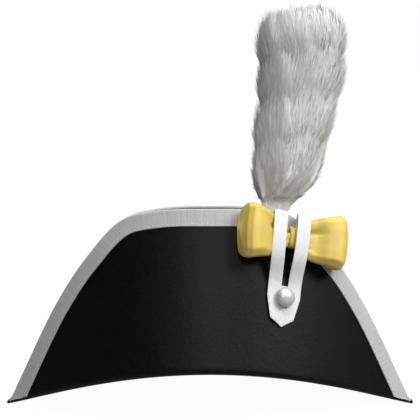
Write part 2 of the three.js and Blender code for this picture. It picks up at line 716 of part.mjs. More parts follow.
// A leather sleeve on a pad, open at the top, sewn inside the front flap
const sleeveBore = STEM_DIAMETER / 2 + CLEARANCE;
const stemStand = faced + CLEARANCE + PLUME_PROFILE[0].deep * PLUME_DEPTH;
function makeSocket() {
  const half = sleeveBore + SOCKET_WALL;
  const seam = half + SOCKET_SEAM;
  const back = -(stemStand - felted) + CLEARANCE;
  const body = new THREE.Shape();
  body.absarc(0, 0, half, 0, Math.PI, false);
  body.lineTo(-half, back + SOCKET_WALL);
  body.lineTo(-seam, back + SOCKET_WALL);
  body.lineTo(-seam, back);
  body.lineTo(seam, back);
  body.lineTo(seam, back + SOCKET_WALL);
  body.lineTo(half, back + SOCKET_WALL);
  const made = { depth: SOCKET_LENGTH, bevelEnabled: false, curveSegments: SOCKET_SEGMENTS };
  const sleeve = new THREE.ExtrudeGeometry(body, made);
  const bore = new THREE.CylinderGeometry(sleeveBore, sleeveBore, 2 * SOCKET_LENGTH, STEM_SIDES);
  bore.rotateX(Math.PI / 2).translate(0, 0, SOCKET_LENGTH + SOCKET_WALL);
  const solid = solidFrom(sleeve).subtract(solidFrom(bore));
  return geometryOf(solid).translate(0, 0, -SOCKET_LENGTH - SOCKET_BELOW);
}

// Materials

const MATERIALS = {
  felt: new THREE.MeshStandardMaterial({ color: 0x1b1b1c, roughness: 0.85, metalness: 0 }),
  galloon: new THREE.MeshStandardMaterial({ color: 0xd8d7d8, roughness: 0.6, metalness: 0 }),
  bow: new THREE.MeshStandardMaterial({ color: 0xe9cc6c, roughness: 0.55, metalness: 0 }),
  loop: new THREE.MeshStandardMaterial({ color: 0xf1f1f1, roughness: 0.45, metalness: 0 }),
  button: new THREE.MeshStandardMaterial({ color: 0xeeeeee, roughness: 0.2, metalness: 0.6 }),
  feather: new THREE.MeshStandardMaterial({ color: 0xd2d1cf, roughness: 0.8, metalness: 0 }),
  leather: new THREE.MeshStandardMaterial({ color: 0x3a2f28, roughness: 0.7, metalness: 0 }),
  steel: new THREE.MeshStandardMaterial({ color: 0x9a9a9a, roughness: 0.4, metalness: 1 }),
};

function named(name, geometry, material) {
  const mesh = new THREE.Mesh(geometry, MATERIALS[material]);
  mesh.name = name;
  return mesh;
}

// Assembly. The cockade stands on the galloon, with x across, y up and z out of the flap; the plume
// stands inside the flap, with x across, y into the hat and z up.

function placeOnFlap(group, x, z, off, tilt, facing) {
  const { point, normal } = wallPoint(FRONT, x, z, off);
  const level = new THREE.Vector3(0, 0, 1).cross(normal).normalize();
  const up = normal.clone().cross(level);
  const axes = facing === 'out' ? [level, up, normal] : [level, normal.negate(), up];
  group.matrix.makeBasis(...axes).setPosition(point);
  group.matrix.decompose(group.position, group.quaternion, group.scale);
  group.rotateZ(tilt);
}

const bowGroup = new THREE.Group();
placeOnFlap(bowGroup, COCKADE_ACROSS, FLAP_HEIGHT - COCKADE_DROP, faced, BOW_TILT, 'out');
bowGroup.add(named('bow', makeBow(), 'bow'), named('bow_knot', makeKnot(), 'bow'));

const loopGroup = new THREE.Group();
placeOnFlap(loopGroup, COCKADE_ACROSS, FLAP_HEIGHT - COCKADE_DROP, faced, LOOP_TILT, 'out');
const button = named('button', makeButton(), 'button');
button.position.set(0, -BUTTON_DROP, LOOP_PROFILE[1].out * BOW_DEPTH + LOOP_BAND + 3 * CLEARANCE);
loopGroup.add(named('cockade_loop', makeLoop(), 'loop'), button);

const plumage = new THREE.Group();
placeOnFlap(plumage, PLUME_ACROSS, FLAP_HEIGHT - PLUME_FOOT_DROP, -stemStand, 0, 'in');
plumage.add(
  named('plume', makePlume(), 'feather'),
  named('plume_stem', makeStem(), 'steel'),
  named('plume_socket', makeSocket(), 'leather'),
);

const hat = new THREE.Group();
hat.add(
  named('brim', makeBrim(), 'felt'),
  named('crown', makeCrown(), 'felt'),
  named('front_galloon', makeGalloon(FRONT), 'galloon'),
  named('back_galloon', makeGalloon(BACK), 'galloon'),
  bowGroup,
  loopGroup,
  plumage,
);

// The hat leans back on its back fold, and its box is centred over the origin.
hat.rotation.x = -REST_LEAN;
hat.position.z = -(restLow + REST_FLAT);
hat.updateMatrixWorld(true);
hat.position.y = -new THREE.Box3().setFromObject(hat, true).getCenter(new THREE.Vector3()).y;

const part = new THREE.Group();
part.add(hat);
part.updateMatrixWorld(true);

export default part;
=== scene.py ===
# %% [markdown]
# A black felt bicorne with a white galloon, a padded yellow bow, a white loop and a feather plume.
#
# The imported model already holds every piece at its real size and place, as plain faceted solids. This
# lesson gives each piece its real surface. Most solids here follow a rule, such as the boat shape of the
# felt, so the same rule is written again below and sampled more finely. That keeps each new piece exactly
# where its solid is, without reading a single point from the solid's mesh.

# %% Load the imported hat
import math

import bmesh
import bpy
import numpy as np
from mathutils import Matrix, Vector


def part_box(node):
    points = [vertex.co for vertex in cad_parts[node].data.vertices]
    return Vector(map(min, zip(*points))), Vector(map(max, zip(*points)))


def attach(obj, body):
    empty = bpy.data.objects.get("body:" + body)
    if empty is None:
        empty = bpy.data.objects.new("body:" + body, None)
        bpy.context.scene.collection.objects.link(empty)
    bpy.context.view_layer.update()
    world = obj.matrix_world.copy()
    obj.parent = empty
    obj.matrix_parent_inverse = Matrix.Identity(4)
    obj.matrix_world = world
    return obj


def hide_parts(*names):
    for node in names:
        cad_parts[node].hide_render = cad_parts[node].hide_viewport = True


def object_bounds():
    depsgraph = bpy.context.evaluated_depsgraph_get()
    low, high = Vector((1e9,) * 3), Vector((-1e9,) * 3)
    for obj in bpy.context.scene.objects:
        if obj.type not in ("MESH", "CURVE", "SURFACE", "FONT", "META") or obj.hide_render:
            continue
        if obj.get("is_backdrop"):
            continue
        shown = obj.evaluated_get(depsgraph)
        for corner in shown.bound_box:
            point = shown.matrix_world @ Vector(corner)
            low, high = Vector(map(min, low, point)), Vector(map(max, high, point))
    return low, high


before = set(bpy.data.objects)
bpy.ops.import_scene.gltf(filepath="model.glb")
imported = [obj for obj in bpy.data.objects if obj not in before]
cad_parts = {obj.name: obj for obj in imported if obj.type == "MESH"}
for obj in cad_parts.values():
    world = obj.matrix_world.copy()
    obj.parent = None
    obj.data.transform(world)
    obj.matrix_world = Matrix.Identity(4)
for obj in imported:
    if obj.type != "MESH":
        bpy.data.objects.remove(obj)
cad_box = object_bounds()
MM = 0.001
print("nodes:", ", ".join(sorted(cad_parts)))

# %% [markdown]
# The sizes of the real felt, in millimetres. The hat is worked out upright, as it is worn, with its horn
# tips at height 0. A later function leans it back onto its back fold, the way it lies on a table, and turns
# millimetres into metres. The sizes of each trimming stand in its own part of this lesson.

# %% Sizes of the felt
HAT_WIDTH = 460
FLAP_HEIGHT = 222
BACK_DROP = 2  # the back flap stays this much lower than the front one
FRONT_ARCH = 46.5  # the front fold rises this much between the horns
TOP_GAP = 127  # from flap to flap at their tops
HEAD_LENGTH = 200
HEAD_BREADTH = 164
FELT = 2.5
FOLD_RADIUS = 6
FOLD_EASE = 1.7  # room between the crown's foot and the folds
HORN_SHARPNESS = 0.45  # how tight the fold is at a horn, as a share of its radius in the middle
HORN_END_WIDTH = 11
HORN_END_HEIGHT = 3
BOAT_FULLNESS = 1.2
REST_LEAN = math.radians(11)
REST_FLAT = 1  # the felt is pressed flat by this much where it lies on the table
CLEARANCE = 0.3

HALF_WIDTH = HAT_WIDTH / 2
FOLD_HALF_DEPTH = HEAD_LENGTH / 2 + 2 * FELT + CLEARANCE + FOLD_EASE
MID_FOLD = FOLD_RADIUS - FELT / 2
FELTED = FELT / 2 + CLEARANCE
print("felt half depth at the folds:", FOLD_HALF_DEPTH, "mm")

# %% [markdown]
# Two small tools do most of the drawing: a column of a table that is smooth between its rows, and a smooth
# curve through a few points that can be sampled evenly. Both are plain arithmetic on arrays.

# %% Smooth columns and curves


def lerp(a, b, t):
    return a + (b - a) * t


def smoothstep(value, low, high):
    t = np.clip((value - low) / (high - low), 0, 1)
    return t * t * (3 - 2 * t)


def smooth_column(table, key, column, at):
    """Values of a column at places along the key column, smooth between the rows."""
    x, y = np.array(table[key], float), np.array(table[column], float)
    rows = np.arange(len(x))
    after, before = np.minimum(rows + 1, len(x) - 1), np.maximum(rows - 1, 0)
    slope = (y[after] - y[before]) / (x[after] - x[before])
    at = np.asarray(at, float)
    i = np.clip(np.searchsorted(x, at, side="left") - 1, 0, len(x) - 2)
    span = x[i + 1] - x[i]
    t = np.clip((at - x[i]) / span, 0, 1)
    rise = (3 - 2 * t) * t * t
    curve = (1 - rise) * y[i] + rise * y[i + 1]
    bend = t * (1 - t) * span
    return curve + bend * ((1 - t) * slope[i] - t * slope[i + 1])


def curve_through(points, steps=60):
    """A dense centripetal curve through a few points."""
    p = np.array(points, float)
    p = np.vstack([2 * p[0] - p[1], p, 2 * p[-1] - p[-2]])
    pieces = []
    for a, b, c, d in zip(p[:-3], p[1:-2], p[2:-1], p[3:]):
        ab, bc, cd = (np.linalg.norm(u - v) ** 0.5 for u, v in ((a, b), (b, c), (c, d)))
        start = bc * ((b - a) / ab - (c - a) / (ab + bc) + (c - b) / bc)
        end = bc * ((c - b) / bc - (d - b) / (bc + cd) + (d - c) / cd)
        t = np.linspace(0, 1, steps, endpoint=False)[:, None]
        cubic = b + start * t + (3 * (c - b) - 2 * start - end) * t**2
        pieces.append(cubic + (2 * (b - c) + start + end) * t**3)
    return np.vstack([*pieces, p[-2]])


def along(points):
    """Distance along a line of points."""
    steps = np.linalg.norm(np.diff(points, axis=0), axis=1)
    return np.concatenate([[0], np.cumsum(steps)])


def sample(points, distances):
    """Points at given distances along a line of points."""
    measured = along(points)
    return np.stack([np.interp(distances, measured, column) for column in points.T], axis=-1)


def resampled(points, count):
    return sample(points, np.linspace(0, along(points)[-1], count))


quarter = curve_through([(1, 0), (0.707, 0.707), (0, 1)])
print("a curve through three points is now", len(quarter), "points,", round(along(quarter)[-1], 2), "long")

# %% [markdown]
# The felt is a boat with upright walls. Seen from the front, its top edge follows one outline: a smooth
# curve through a few points, given as shares of the half width and of the height. The right half mirrors
# the left one.

# %% The outline of the flaps
FLAP_OUTLINE = {
    "across": [1, 0.975, 0.932, 0.744, 0.594, 0.42, 0.248, 0],
    "up": [HORN_END_HEIGHT / FLAP_HEIGHT, 0.027, 0.114, 0.5126, 0.7505, 0.942, 0.99, 1],
}
left_outline = [
    (-across * HALF_WIDTH, up * FLAP_HEIGHT) for across, up in zip(*FLAP_OUTLINE.values())
]
outline = curve_through(left_outline + [(-x, z) for x, z in left_outline[-2::-1]])
outline_length = along(outline)[-1]
print("outline:", round(outline_length), "mm long")

# %% [markdown]
# Seen from above, both folds swell out around the head and meet at the horns. Each wall leans inwards and
# turns under in a round fold, which gets tighter where the hat is narrow or low. These functions give the
# middle of the felt anywhere on a flap, and any distance off it.

# %% Folds and walls
NARROW_FOLD = 0.8  # a fold's radius is at most this share of the half depth
LOW_FOLD = 0.62  # and at most this share of the wall's height
FULL_TURN = 0.98  # the wall is followed round this share of its fold
SLOPE_STEP = 0.5  # slopes are measured over this distance


def fold_radius(half_depth, height):
    return np.minimum(np.minimum(MID_FOLD, NARROW_FOLD * half_depth), LOW_FOLD * height)


def lowest_of_fold(half_depth, rise, radius):
    """The lowest height of a fold once the hat leans back."""
    lift = (rise + radius) * math.cos(REST_LEAN) - (half_depth - radius) * math.sin(REST_LEAN)
    return lift - radius


horn_radius = float(fold_radius(HORN_END_WIDTH / 2 - FELT / 2, HORN_END_HEIGHT - FELT / 2)) + FELT / 2
REST_LOW = lowest_of_fold(HORN_END_WIDTH / 2, 0, horn_radius)
BACK_ARCH = (REST_LOW - lowest_of_fold(FOLD_HALF_DEPTH, 0, FOLD_RADIUS)) / math.cos(REST_LEAN)


class Flap:
    """One of the two turned-up sides of the brim."""

    def __init__(self, side, arch, drop):
        self.side, self.arch, self.drop = side, arch, drop
        self.slope = (FOLD_HALF_DEPTH - TOP_GAP / 2) / (FLAP_HEIGHT - arch)


FRONT = Flap(-1, FRONT_ARCH, 0)
BACK = Flap(1, BACK_ARCH, BACK_DROP)


def boat(x):
    """How full the boat is across the hat, from 0 at a horn to 1 in the middle."""
    return (1 - np.minimum(1, (np.asarray(x) / HALF_WIDTH) ** 2)) ** BOAT_FULLNESS


def top_height(flap, x):
    return np.interp(x, outline[:, 0], outline[:, 1]) - flap.drop * boat(x)


def fold_at(flap, x, top):
    """A fold's half depth, the height of its underside and its radius."""
    half_depth = lerp(HORN_END_WIDTH / 2, FOLD_HALF_DEPTH, boat(x)) - FELT / 2
    low = flap.arch * boat(x) + FELT / 2
    widest = MID_FOLD * lerp(HORN_SHARPNESS, 1, np.sqrt(boat(x)))
    return half_depth, low, np.minimum(widest, fold_radius(half_depth, top - low))


def wall_depth(flap, x, z):
    """Distance of the felt's middle from the hat's middle plane."""
    half_depth, low, radius = fold_at(flap, x, top_height(flap, x))
    lean = math.atan(flap.slope)
    bend = low + radius + radius * math.sin(lean)
    wall = half_depth - radius + radius * math.cos(lean) - (z - bend) * flap.slope
    drop = np.clip(low + radius - z, -radius, radius * FULL_TURN)
    turn = half_depth - radius + np.sqrt(radius * radius - drop * drop)
    return np.where(z >= bend, wall, turn)


def wall_point(flap, x, z, off):
    """A point on a flap, moved off the middle of the felt along its outward normal."""
    x, z = np.asarray(x, float), np.asarray(z, float)
    step = SLOPE_STEP
    across = (wall_depth(flap, x + step, z) - wall_depth(flap, x - step, z)) / (2 * step)
    up = (wall_depth(flap, x, z + step) - wall_depth(flap, x, z - step)) / (2 * step)
    normal = np.stack([-across, np.full_like(across, flap.side), -up], axis=-1)
    normal /= np.linalg.norm(normal, axis=-1, keepdims=True)
    place = np.stack([x, flap.side * wall_depth(flap, x, z), z], axis=-1)
    return place + normal * np.asarray(off)[..., None], normal


print("the back fold rises", round(BACK_ARCH, 2), "mm between the horns")

# %% [markdown]
# Put down on a table, the hat leans back until its back fold and both horns lie on it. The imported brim's
# box says where the hat then stands, front to back.

# %% From upright millimetres to metres at rest
LEAN_COS, LEAN_SIN = math.cos(REST_LEAN), math.sin(REST_LEAN)


def leant(points):
    """Points or directions turned with the hat as it leans back."""
    p = np.asarray(points, float)
    y = p[..., 1] * LEAN_COS + p[..., 2] * LEAN_SIN
    z = -p[..., 1] * LEAN_SIN + p[..., 2] * LEAN_COS
    return np.stack([p[..., 0], y, z], axis=-1)


def outermost_fold(flap):
    """How far out a fold reaches in the middle of the leant hat."""
    heights = np.linspace(flap.arch + FELT / 2, flap.arch + 2 * FOLD_RADIUS, 200)
    places, _ = wall_point(flap, np.zeros(200), heights, np.full(200, FELT / 2))
    y = leant(places)[:, 1]
    return flap.side * (flap.side * y).max()


brim_low, brim_high = (np.array(corner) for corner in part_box("brim"))
brim_middle = (brim_low[1] + brim_high[1]) / 2 / MM
drawn_middle = (outermost_fold(FRONT) + outermost_fold(BACK)) / 2
SHIFT = np.array([0, brim_middle - drawn_middle, -(REST_LOW + REST_FLAT)])


def at_rest(points):
    return (leant(points) + SHIFT) * MM


print("the hat stands", np.round(SHIFT, 2), "mm from where it was drawn")

# %% [markdown]
# The camera stands where the photograph was taken from: square in front of the hat and 2.5 degrees above
# its level. The hat leans back here, so the camera leans with it and looks down more steeply.
# A long lens matches the photograph's nearly parallel lines.

# %% Camera
IMAGE_WIDTH = 420
CAMERA_DISTANCE = 1900
CAMERA_RISE = math.radians(2.5)
CAMERA_AIM = (0, 0, 220)
FOCAL_PIXELS = 1677
SENSOR_WIDTH = 36

camera = bpy.data.objects.new("camera", bpy.data.cameras.new("camera"))
bpy.context.collection.objects.link(camera)
camera.data.sensor_width = SENSOR_WIDTH
camera.data.lens = SENSOR_WIDTH * FOCAL_PIXELS / IMAGE_WIDTH
camera.data.clip_end = 100
to_camera = np.array([0, -math.cos(CAMERA_RISE), math.sin(CAMERA_RISE)])
aim = Vector(at_rest(CAMERA_AIM))
camera.location = at_rest(np.array(CAMERA_AIM) + CAMERA_DISTANCE * to_camera)
camera.rotation_euler = (aim - camera.location).to_track_quat("-Z", "Y").to_euler()
bpy.context.scene.camera = camera
camera_height = math.degrees(math.asin(leant(to_camera)[2]))
print("camera looks down at", round(camera_height, 1), "degrees")

# %% [markdown]
# The photograph has a white ground, soft light from above and from the right, and a broad dim sheen down
# the middle of the felt. A large softbox overhead lights the tops, another behind rounds off the back, a
# panel high at the right makes that side lighter than the left, and a tall panel in front gives the sheen.
# The floor glows evenly, as a light table does, so it is white everywhere and the hat's shadow stays faint.
# A glow that bright would also wash out the undersides, so the floor lights the hat with less of it:
# the Light Path node tells the rays that see the floor from the rays that carry its light.

# %% Floor and lights
FLOOR_HALF = 12
SKY_STRENGTH = 0.02
FLOOR_GLOW = 0.97
FLOOR_BOUNCE = 0.55


def area_light(name, place, target, size, power):
    """A flat light at a place, turned to a target, with its size in metres and its power in watts."""
    lamp = bpy.data.lights.new(name, "AREA")
    lamp.shape = "RECTANGLE"
    lamp.size, lamp.size_y = size
    lamp.energy = power
    light = bpy.data.objects.new(name, lamp)
    bpy.context.collection.objects.link(light)
    light.location = place
    light.rotation_euler = (Vector(target) - Vector(place)).to_track_quat("-Z", "Y").to_euler()


LIGHTS = {
    "softbox_above": ((0.3, 0.0, 3.0), (0, 0, 0.2), (2.4, 2.4), 101),
    "softbox_behind": ((0.3, 2.2, 3.4), (0, 1.2, 0), (4.0, 4.0), 130),
    "key_panel": ((2.0, -1.2, 2.2), (0, 0, 0.2), (1.4, 1.4), 108),
    "front_panel": ((0.0, -2.1, 1.75), (0, 0, 0.12), (0.35, 0.9), 24),
}
for name, (place, target, size, power) in LIGHTS.items():
    area_light(name, place, target, size, power)

world = bpy.data.worlds.new("sky")
bpy.context.scene.world = world
world.use_nodes = True
background = world.node_tree.nodes["Background"]
background.inputs["Color"].default_value = (1, 1, 1, 1)
background.inputs["Strength"].default_value = SKY_STRENGTH
bpy.context.scene.view_settings.view_transform = "Standard"

corners = [(x * FLOOR_HALF, y * FLOOR_HALF, 0) for x, y in ((-1, -1), (1, -1), (1, 1), (-1, 1))]
floor_mesh = bpy.data.meshes.new("floor")
floor_mesh.from_pydata(corners, [], [(0, 1, 2, 3)])
floor = bpy.data.objects.new("floor", floor_mesh)
bpy.context.collection.objects.link(floor)
floor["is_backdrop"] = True

# %% [markdown]
# Materials are written as arithmetic. A wire is a socket of a node, and adding or multiplying wires adds
# the Math nodes that do it, so a formula reads as it would on paper.

# %% Wires


class Wire:
    """A node's output, which arithmetic turns into Math nodes."""

    def __init__(self, maker, socket):
        self.maker, self.socket = maker, socket

    def _math(self, operation, *values):
        names = range(len(values))
        return self.maker.node("ShaderNodeMath", {"operation": operation}, dict(zip(names, values)))

    def __add__(self, other):
        return self._math("ADD", self, other)

    def __sub__(self, other):
        return self._math("SUBTRACT", self, other)

    def __rsub__(self, other):
        return self._math("SUBTRACT", other, self)

    def __mul__(self, other):
        return self._math("MULTIPLY", self, other)

    def smooth(self, low, high):
        """0 below the low value, 1 above the high one and smooth between them."""
        settings = {"interpolation_type": "SMOOTHSTEP"}
        return self.maker.node("ShaderNodeMapRange", settings, {0: self, 1: low, 2: high})

    def sine(self):
        return self._math("SINE", self)

    __radd__ = __add__
    __rmul__ = __mul__


print("wires can now be added, subtracted, multiplied, smoothed and turned into waves")

# %% [markdown]
# A finish is one material. Every node in it comes from one method, which takes the node's type, its settings
# and the values or wires of its sockets. The others are short names for the nodes that many finishes use.
# Colours are given as a screen shows them, from 0 to 255, and turned into linear light.

# %% Finishes


class Finish:
    """A material that is built node by node."""

    def __init__(self, name):
        self.material = bpy.data.materials.new(name)
        self.material.use_nodes = True
        self.tree = self.material.node_tree
        self.shader = self.tree.nodes["Principled BSDF"]

    def node(self, kind, settings=None, inputs=None, output=0):
        made = self.tree.nodes.new(kind)
        for name, value in (settings or {}).items():
            setattr(made, name, value)
        for name, value in (inputs or {}).items():
            self.feed(made.inputs[name], value)
        return Wire(self, made.outputs[output])

    def feed(self, socket, value):
        if isinstance(value, Wire):
            self.tree.links.new(value.socket, socket)
        else:
            socket.default_value = value

    def mixed(self, share, low, high):
        """A colour between two colours."""
        inputs = {0: share, 6: colour(low), 7: colour(high)}
        return self.node("ShaderNodeMix", {"data_type": "RGBA"}, inputs, 2)

    def noise(self, vector, scale, detail=2.0, roughness=0.5):
        inputs = {"Vector": vector, "Scale": scale, "Detail": detail, "Roughness": roughness}
        return self.node("ShaderNodeTexNoise", {}, inputs)

    def place(self, output="Object"):
        return self.node("ShaderNodeTexCoord", {}, {}, output)

    def uv(self):
        """Distance along and across a piece of cloth, in metres."""
        return [self.node("ShaderNodeSeparateXYZ", {}, {0: self.place("UV")}, axis) for axis in (0, 1)]

    def scaled(self, vector, scale):
        return self.node("ShaderNodeMapping", {}, {"Vector": vector, "Scale": scale})

    def bump(self, height, distance, strength=1.0):
        inputs = {"Height": height, "Distance": distance, "Strength": strength}
        self.feed(self.shader.inputs["Normal"], self.node("ShaderNodeBump", {}, inputs))

    def set(self, **values):
        """Feed the shader's own sockets, named in small letters."""
        for name, value in values.items():
            label = name.replace("_", " ").title().replace("Ior", "IOR")
            self.feed(self.shader.inputs[label], value)


def colour(value):
    """A wire as it is, or an sRGB colour of 0 to 255 as a linear colour."""
    if isinstance(value, Wire):
        return value
    channels = [c / 255 for c in value]
    return (*(c / 12.92 if c <= 0.04045 else ((c + 0.055) / 1.055) ** 2.4 for c in channels), 1)


print("middle grey in linear light:", round(colour((128, 128, 128))[0], 3))

# %% [markdown]
# Fur felt is matted hair, pressed flat and polished. It is nearly black, with a faint mottle where the
# hair takes the light, a short fuzz that shows at grazing angles, and a fine pebbled surface. The sheen
# layer of the shader stands for the fuzz.

# %% Felt
felt = Finish("felt")
where = felt.place()
clouds = felt.noise(where, 26, 4.0, 0.6)
mottle = felt.noise(where, 260, 3.0, 0.6)
fibres = felt.noise(felt.scaled(where, (1, 1, 0.45)), 1500, 2.0, 0.6)
tone = clouds * 0.4 + mottle * 0.35 + fibres * 0.25
felt.set(
    base_color=felt.mixed(tone.smooth(0.34, 0.68), (2, 2, 2), (8, 8, 8)),
    roughness=0.38 + mottle * 0.12,
    specular_ior_level=0.12,
    sheen_weight=0.01,
    sheen_roughness=0.45,
    sheen_tint=colour((150, 150, 150)),
)
felt.bump(mottle * 0.6 + fibres * 0.4, 0.0004, 0.8)
print("felt is made of", len(felt.tree.nodes), "nodes")

# %% [markdown]
# The floor is matt and dark by itself, and it glows. Its glow is one colour for the eye and a dimmer one for
# the light that it throws onto the hat.

# %% Floor
floor_finish = Finish("floor")
seen = floor_finish.node("ShaderNodeLightPath", {}, {}, "Is Camera Ray")
white, dimmed = (1, 1, 1, 1), (*[FLOOR_BOUNCE / FLOOR_GLOW] * 3, 1)
glow = floor_finish.node("ShaderNodeMix", {"data_type": "RGBA"}, {0: seen, 6: dimmed, 7: white}, 2)
floor_finish.set(
    base_color=colour((40, 40, 40)),
    roughness=0.9,
    specular_ior_level=0.1,
    emission_color=glow,
    emission_strength=FLOOR_GLOW,
)
floor.data.materials.append(floor_finish.material)
print("the floor lights the hat with", round(FLOOR_BOUNCE / FLOOR_GLOW, 2), "of what it shows")

# %% [markdown]
# Every piece below is a grid of points: rows along it and columns round or across it. These functions turn
# such a grid into faces and into a UV map in metres, so that a weave has the same scale on every piece.

# %% Grids into meshes


def new_piece(name, points, faces, corner_uv=None):
    """A new object whose place is in its mesh."""
    mesh = bpy.data.meshes.new(name)
    mesh.from_pydata(points.tolist(), [], [list(map(int, face)) for face in faces])
    if corner_uv is not None:
        layer = mesh.uv_layers.new(name="UVMap")
        layer.data.foreach_set("uv", np.asarray(corner_uv, dtype=np.float32).ravel())
    piece = bpy.data.objects.new(name, mesh)
    bpy.context.collection.objects.link(piece)
    return piece


def grid_faces(rows, columns, closed):
    """The corners of each face of a grid, and each face's row and column."""
    i, j = np.meshgrid(np.arange(rows - 1), np.arange(columns if closed else columns - 1), indexing="ij")
    here, above, after = i * columns, (i + 1) * columns, (j + 1) % columns
    quads = np.stack([here + j, above + j, above + after, here + after])
    return quads.reshape(4, -1).T, (i.ravel(), j.ravel())


def grid_uv(grid, closed):
    """Distance along and across a grid, in metres, at each corner of each of its faces."""
    rows, columns = grid.shape[:2]
    middle = grid.mean(axis=1)
    u = along(middle)
    ring = np.concatenate([grid, grid[:, :1]], axis=1) if closed else grid
    v = np.concatenate([[0], np.cumsum(np.linalg.norm(np.diff(ring, axis=1), axis=2).mean(axis=0))])
    _, (i, j) = grid_faces(rows, columns, closed)
    corners = [(u[i], v[j]), (u[i + 1], v[j]), (u[i + 1], v[j + 1]), (u[i], v[j + 1])]
    return np.stack([np.stack(corner, axis=-1) for corner in corners], axis=1) * MM


print("a ring of 8 points repeated 3 times makes", len(grid_faces(3, 8, True)[0]), "faces")

# %% [markdown]
# A closed body is lofted through rings of points, with a fan of triangles at each end. Points that meet are
# joined and the faces turned outwards. Modifiers such as Solidify are made real before a piece is dressed in
# its finish, and dressing also hangs the piece on the hat's root body and hides the solid that it stands
# for.

# %% Closed bodies and their dress


def tidy(piece, merge=1e-6, outwards=True):
    """Join points that coincide, drop faces without area and turn the faces outwards."""
    work = bmesh.new()
    work.from_mesh(piece.data)
    bmesh.ops.remove_doubles(work, verts=work.verts, dist=merge)
    bmesh.ops.dissolve_degenerate(work, dist=merge, edges=work.edges)
    if outwards:
        bmesh.ops.recalc_face_normals(work, faces=work.faces)
    work.to_mesh(piece.data)
    work.free()
    piece.data.shade_smooth()


def flattened(piece, height=0):
    """Press the points that lie below a height flat onto it."""
    for vertex in piece.data.vertices:
        vertex.co.z = max(vertex.co.z, height)


def lofted(name, grid, ends=True):
    """A closed body through rings of points, given in upright millimetres."""
    rows, columns = grid.shape[:2]
    quads, _ = grid_faces(rows, columns, True)
    uv = grid_uv(grid, True)
    points = grid.reshape(-1, 3)
    faces, corner_uv = list(quads), list(uv.reshape(-1, 2))
    if ends:
        for row in (0, rows - 1):
            middle = len(points)
            points = np.vstack([points, grid[row].mean(axis=0)])
            for j in range(columns):
                faces.append((middle, row * columns + j, row * columns + (j + 1) % columns))
                corner_uv += [(0, 0)] * 3
    piece = new_piece(name, at_rest(points), faces, corner_uv)
    tidy(piece)
    return piece


def finish_modifiers(piece):
    """Turn what the modifiers make into the piece's own mesh."""
    graph = bpy.context.evaluated_depsgraph_get()
    made = bpy.data.meshes.new_from_object(piece.evaluated_get(graph), depsgraph=graph)
    piece.modifiers.clear()
    piece.data = made
    return piece


def dress(piece, finish, node):
    """Give a piece its finish, hang it on the root body and hide the solid that it stands for."""
    piece.data.materials.clear()
    piece.data.materials.append(finish.material)
    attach(piece, "root")
    if node:
        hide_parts(node)
    print(piece.name, len(piece.data.polygons), "faces")


print("solids to stand in for:", len(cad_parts))

# %% [markdown]
# The brim is one sheet of felt. A section is drawn at each place across the hat, from the front top edge
# down, round the fold, under to the middle and up the back in the same way. Where the head opening is, the
# two halves of the section stop at its edge. Solidify then gives the sheet its thickness, and the points
# that would lie below the table are pressed flat onto it.

# %% Sections of the brim
OPENING = (HEAD_BREADTH / 2 + FELT + CLEARANCE, HEAD_LENGTH / 2 + FELT + CLEARANCE)
WALL_COLUMNS = 44
TURN_COLUMNS = 10
SOLE_COLUMNS = 12
LEFT_STATIONS = 76
MIDDLE_STATIONS = 97
HORN_SHARES = [0, 0.002, 0.004, 0.008, 0.014]
LEAST_WALL = 0.2

opening_share = np.interp(-OPENING[0], outline[:, 0], along(outline)) / outline_length
evenly = np.linspace(HORN_SHARES[-1], opening_share, LEFT_STATIONS)[1:-1]
left_stations = sample(outline, np.concatenate([HORN_SHARES, evenly]) * outline_length)[:, 0]
middle_stations = OPENING[0] * np.sin(np.linspace(-math.pi / 2, math.pi / 2, MIDDLE_STATIONS))
stations = np.concatenate([left_stations, middle_stations, -left_stations[::-1]])


def half_section(flap, other, x):
    """One flap's section, from its top edge round the fold to the middle or the head opening."""
    top = top_height(flap, x)
    half_depth, low, radius = fold_at(flap, x, top)
    lean = math.atan(flap.slope)
    centre = np.array([half_depth - radius, low + radius])
    bend = centre + radius * np.array([math.cos(lean), math.sin(lean)])
    up = max(top - bend[1], LEAST_WALL) * np.linspace(1, 0, WALL_COLUMNS, endpoint=False)
    wall = np.stack([bend[0] - up * flap.slope, bend[1] + up], axis=1)
    opening = OPENING[1] * math.sqrt(max(1 - (x / OPENING[0]) ** 2, 0))
    last_turn = -math.pi / 2
    if opening > centre[0]:
        last_turn = -math.acos(min((opening - centre[0]) / radius, 1))
    turn = np.linspace(lean, last_turn, TURN_COLUMNS)[:, None]
    fold = centre + radius * np.hstack([np.cos(turn), np.sin(turn)])
    _, other_low, _ = fold_at(other, x, top_height(other, x))
    share = np.linspace(0, 1 - min(opening / centre[0], 1), SOLE_COLUMNS)[1:, None]
    sole = fold[-1] + share * (np.array([0, (low + other_low) / 2]) - fold[-1])
    section = np.vstack([wall, fold, sole])
    return np.column_stack([np.full(len(section), x), flap.side * section[:, 0], section[:, 1]])


print("the brim has", len(stations), "sections")

# %% Brim
halves = []
for flap, other in ((FRONT, BACK), (BACK, FRONT)):
    halves.append(np.array([half_section(flap, other, x) for x in stations]))
rows, columns = halves[0].shape[:2]
quads, _ = grid_faces(rows, columns, False)
sheet_points = at_rest(np.vstack([half.reshape(-1, 3) for half in halves]))
brim = new_piece("felt_brim", sheet_points, np.vstack([quads, quads[:, ::-1] + rows * columns]))
tidy(brim, 2e-5)
solidify = brim.modifiers.new("thickness", "SOLIDIFY")
solidify.thickness = FELT * MM
solidify.offset = 0
solidify.use_even_offset = True
solidify.use_quality_normals = True
rounding = brim.modifiers.new("rounding", "BEVEL")
rounding.width = 0.0005
rounding.segments = 2
rounding.limit_method = "ANGLE"
rounding.angle_limit = math.radians(60)
finish_modifiers(brim)
tidy(brim)
flattened(brim)
dress(brim, felt, "brim")

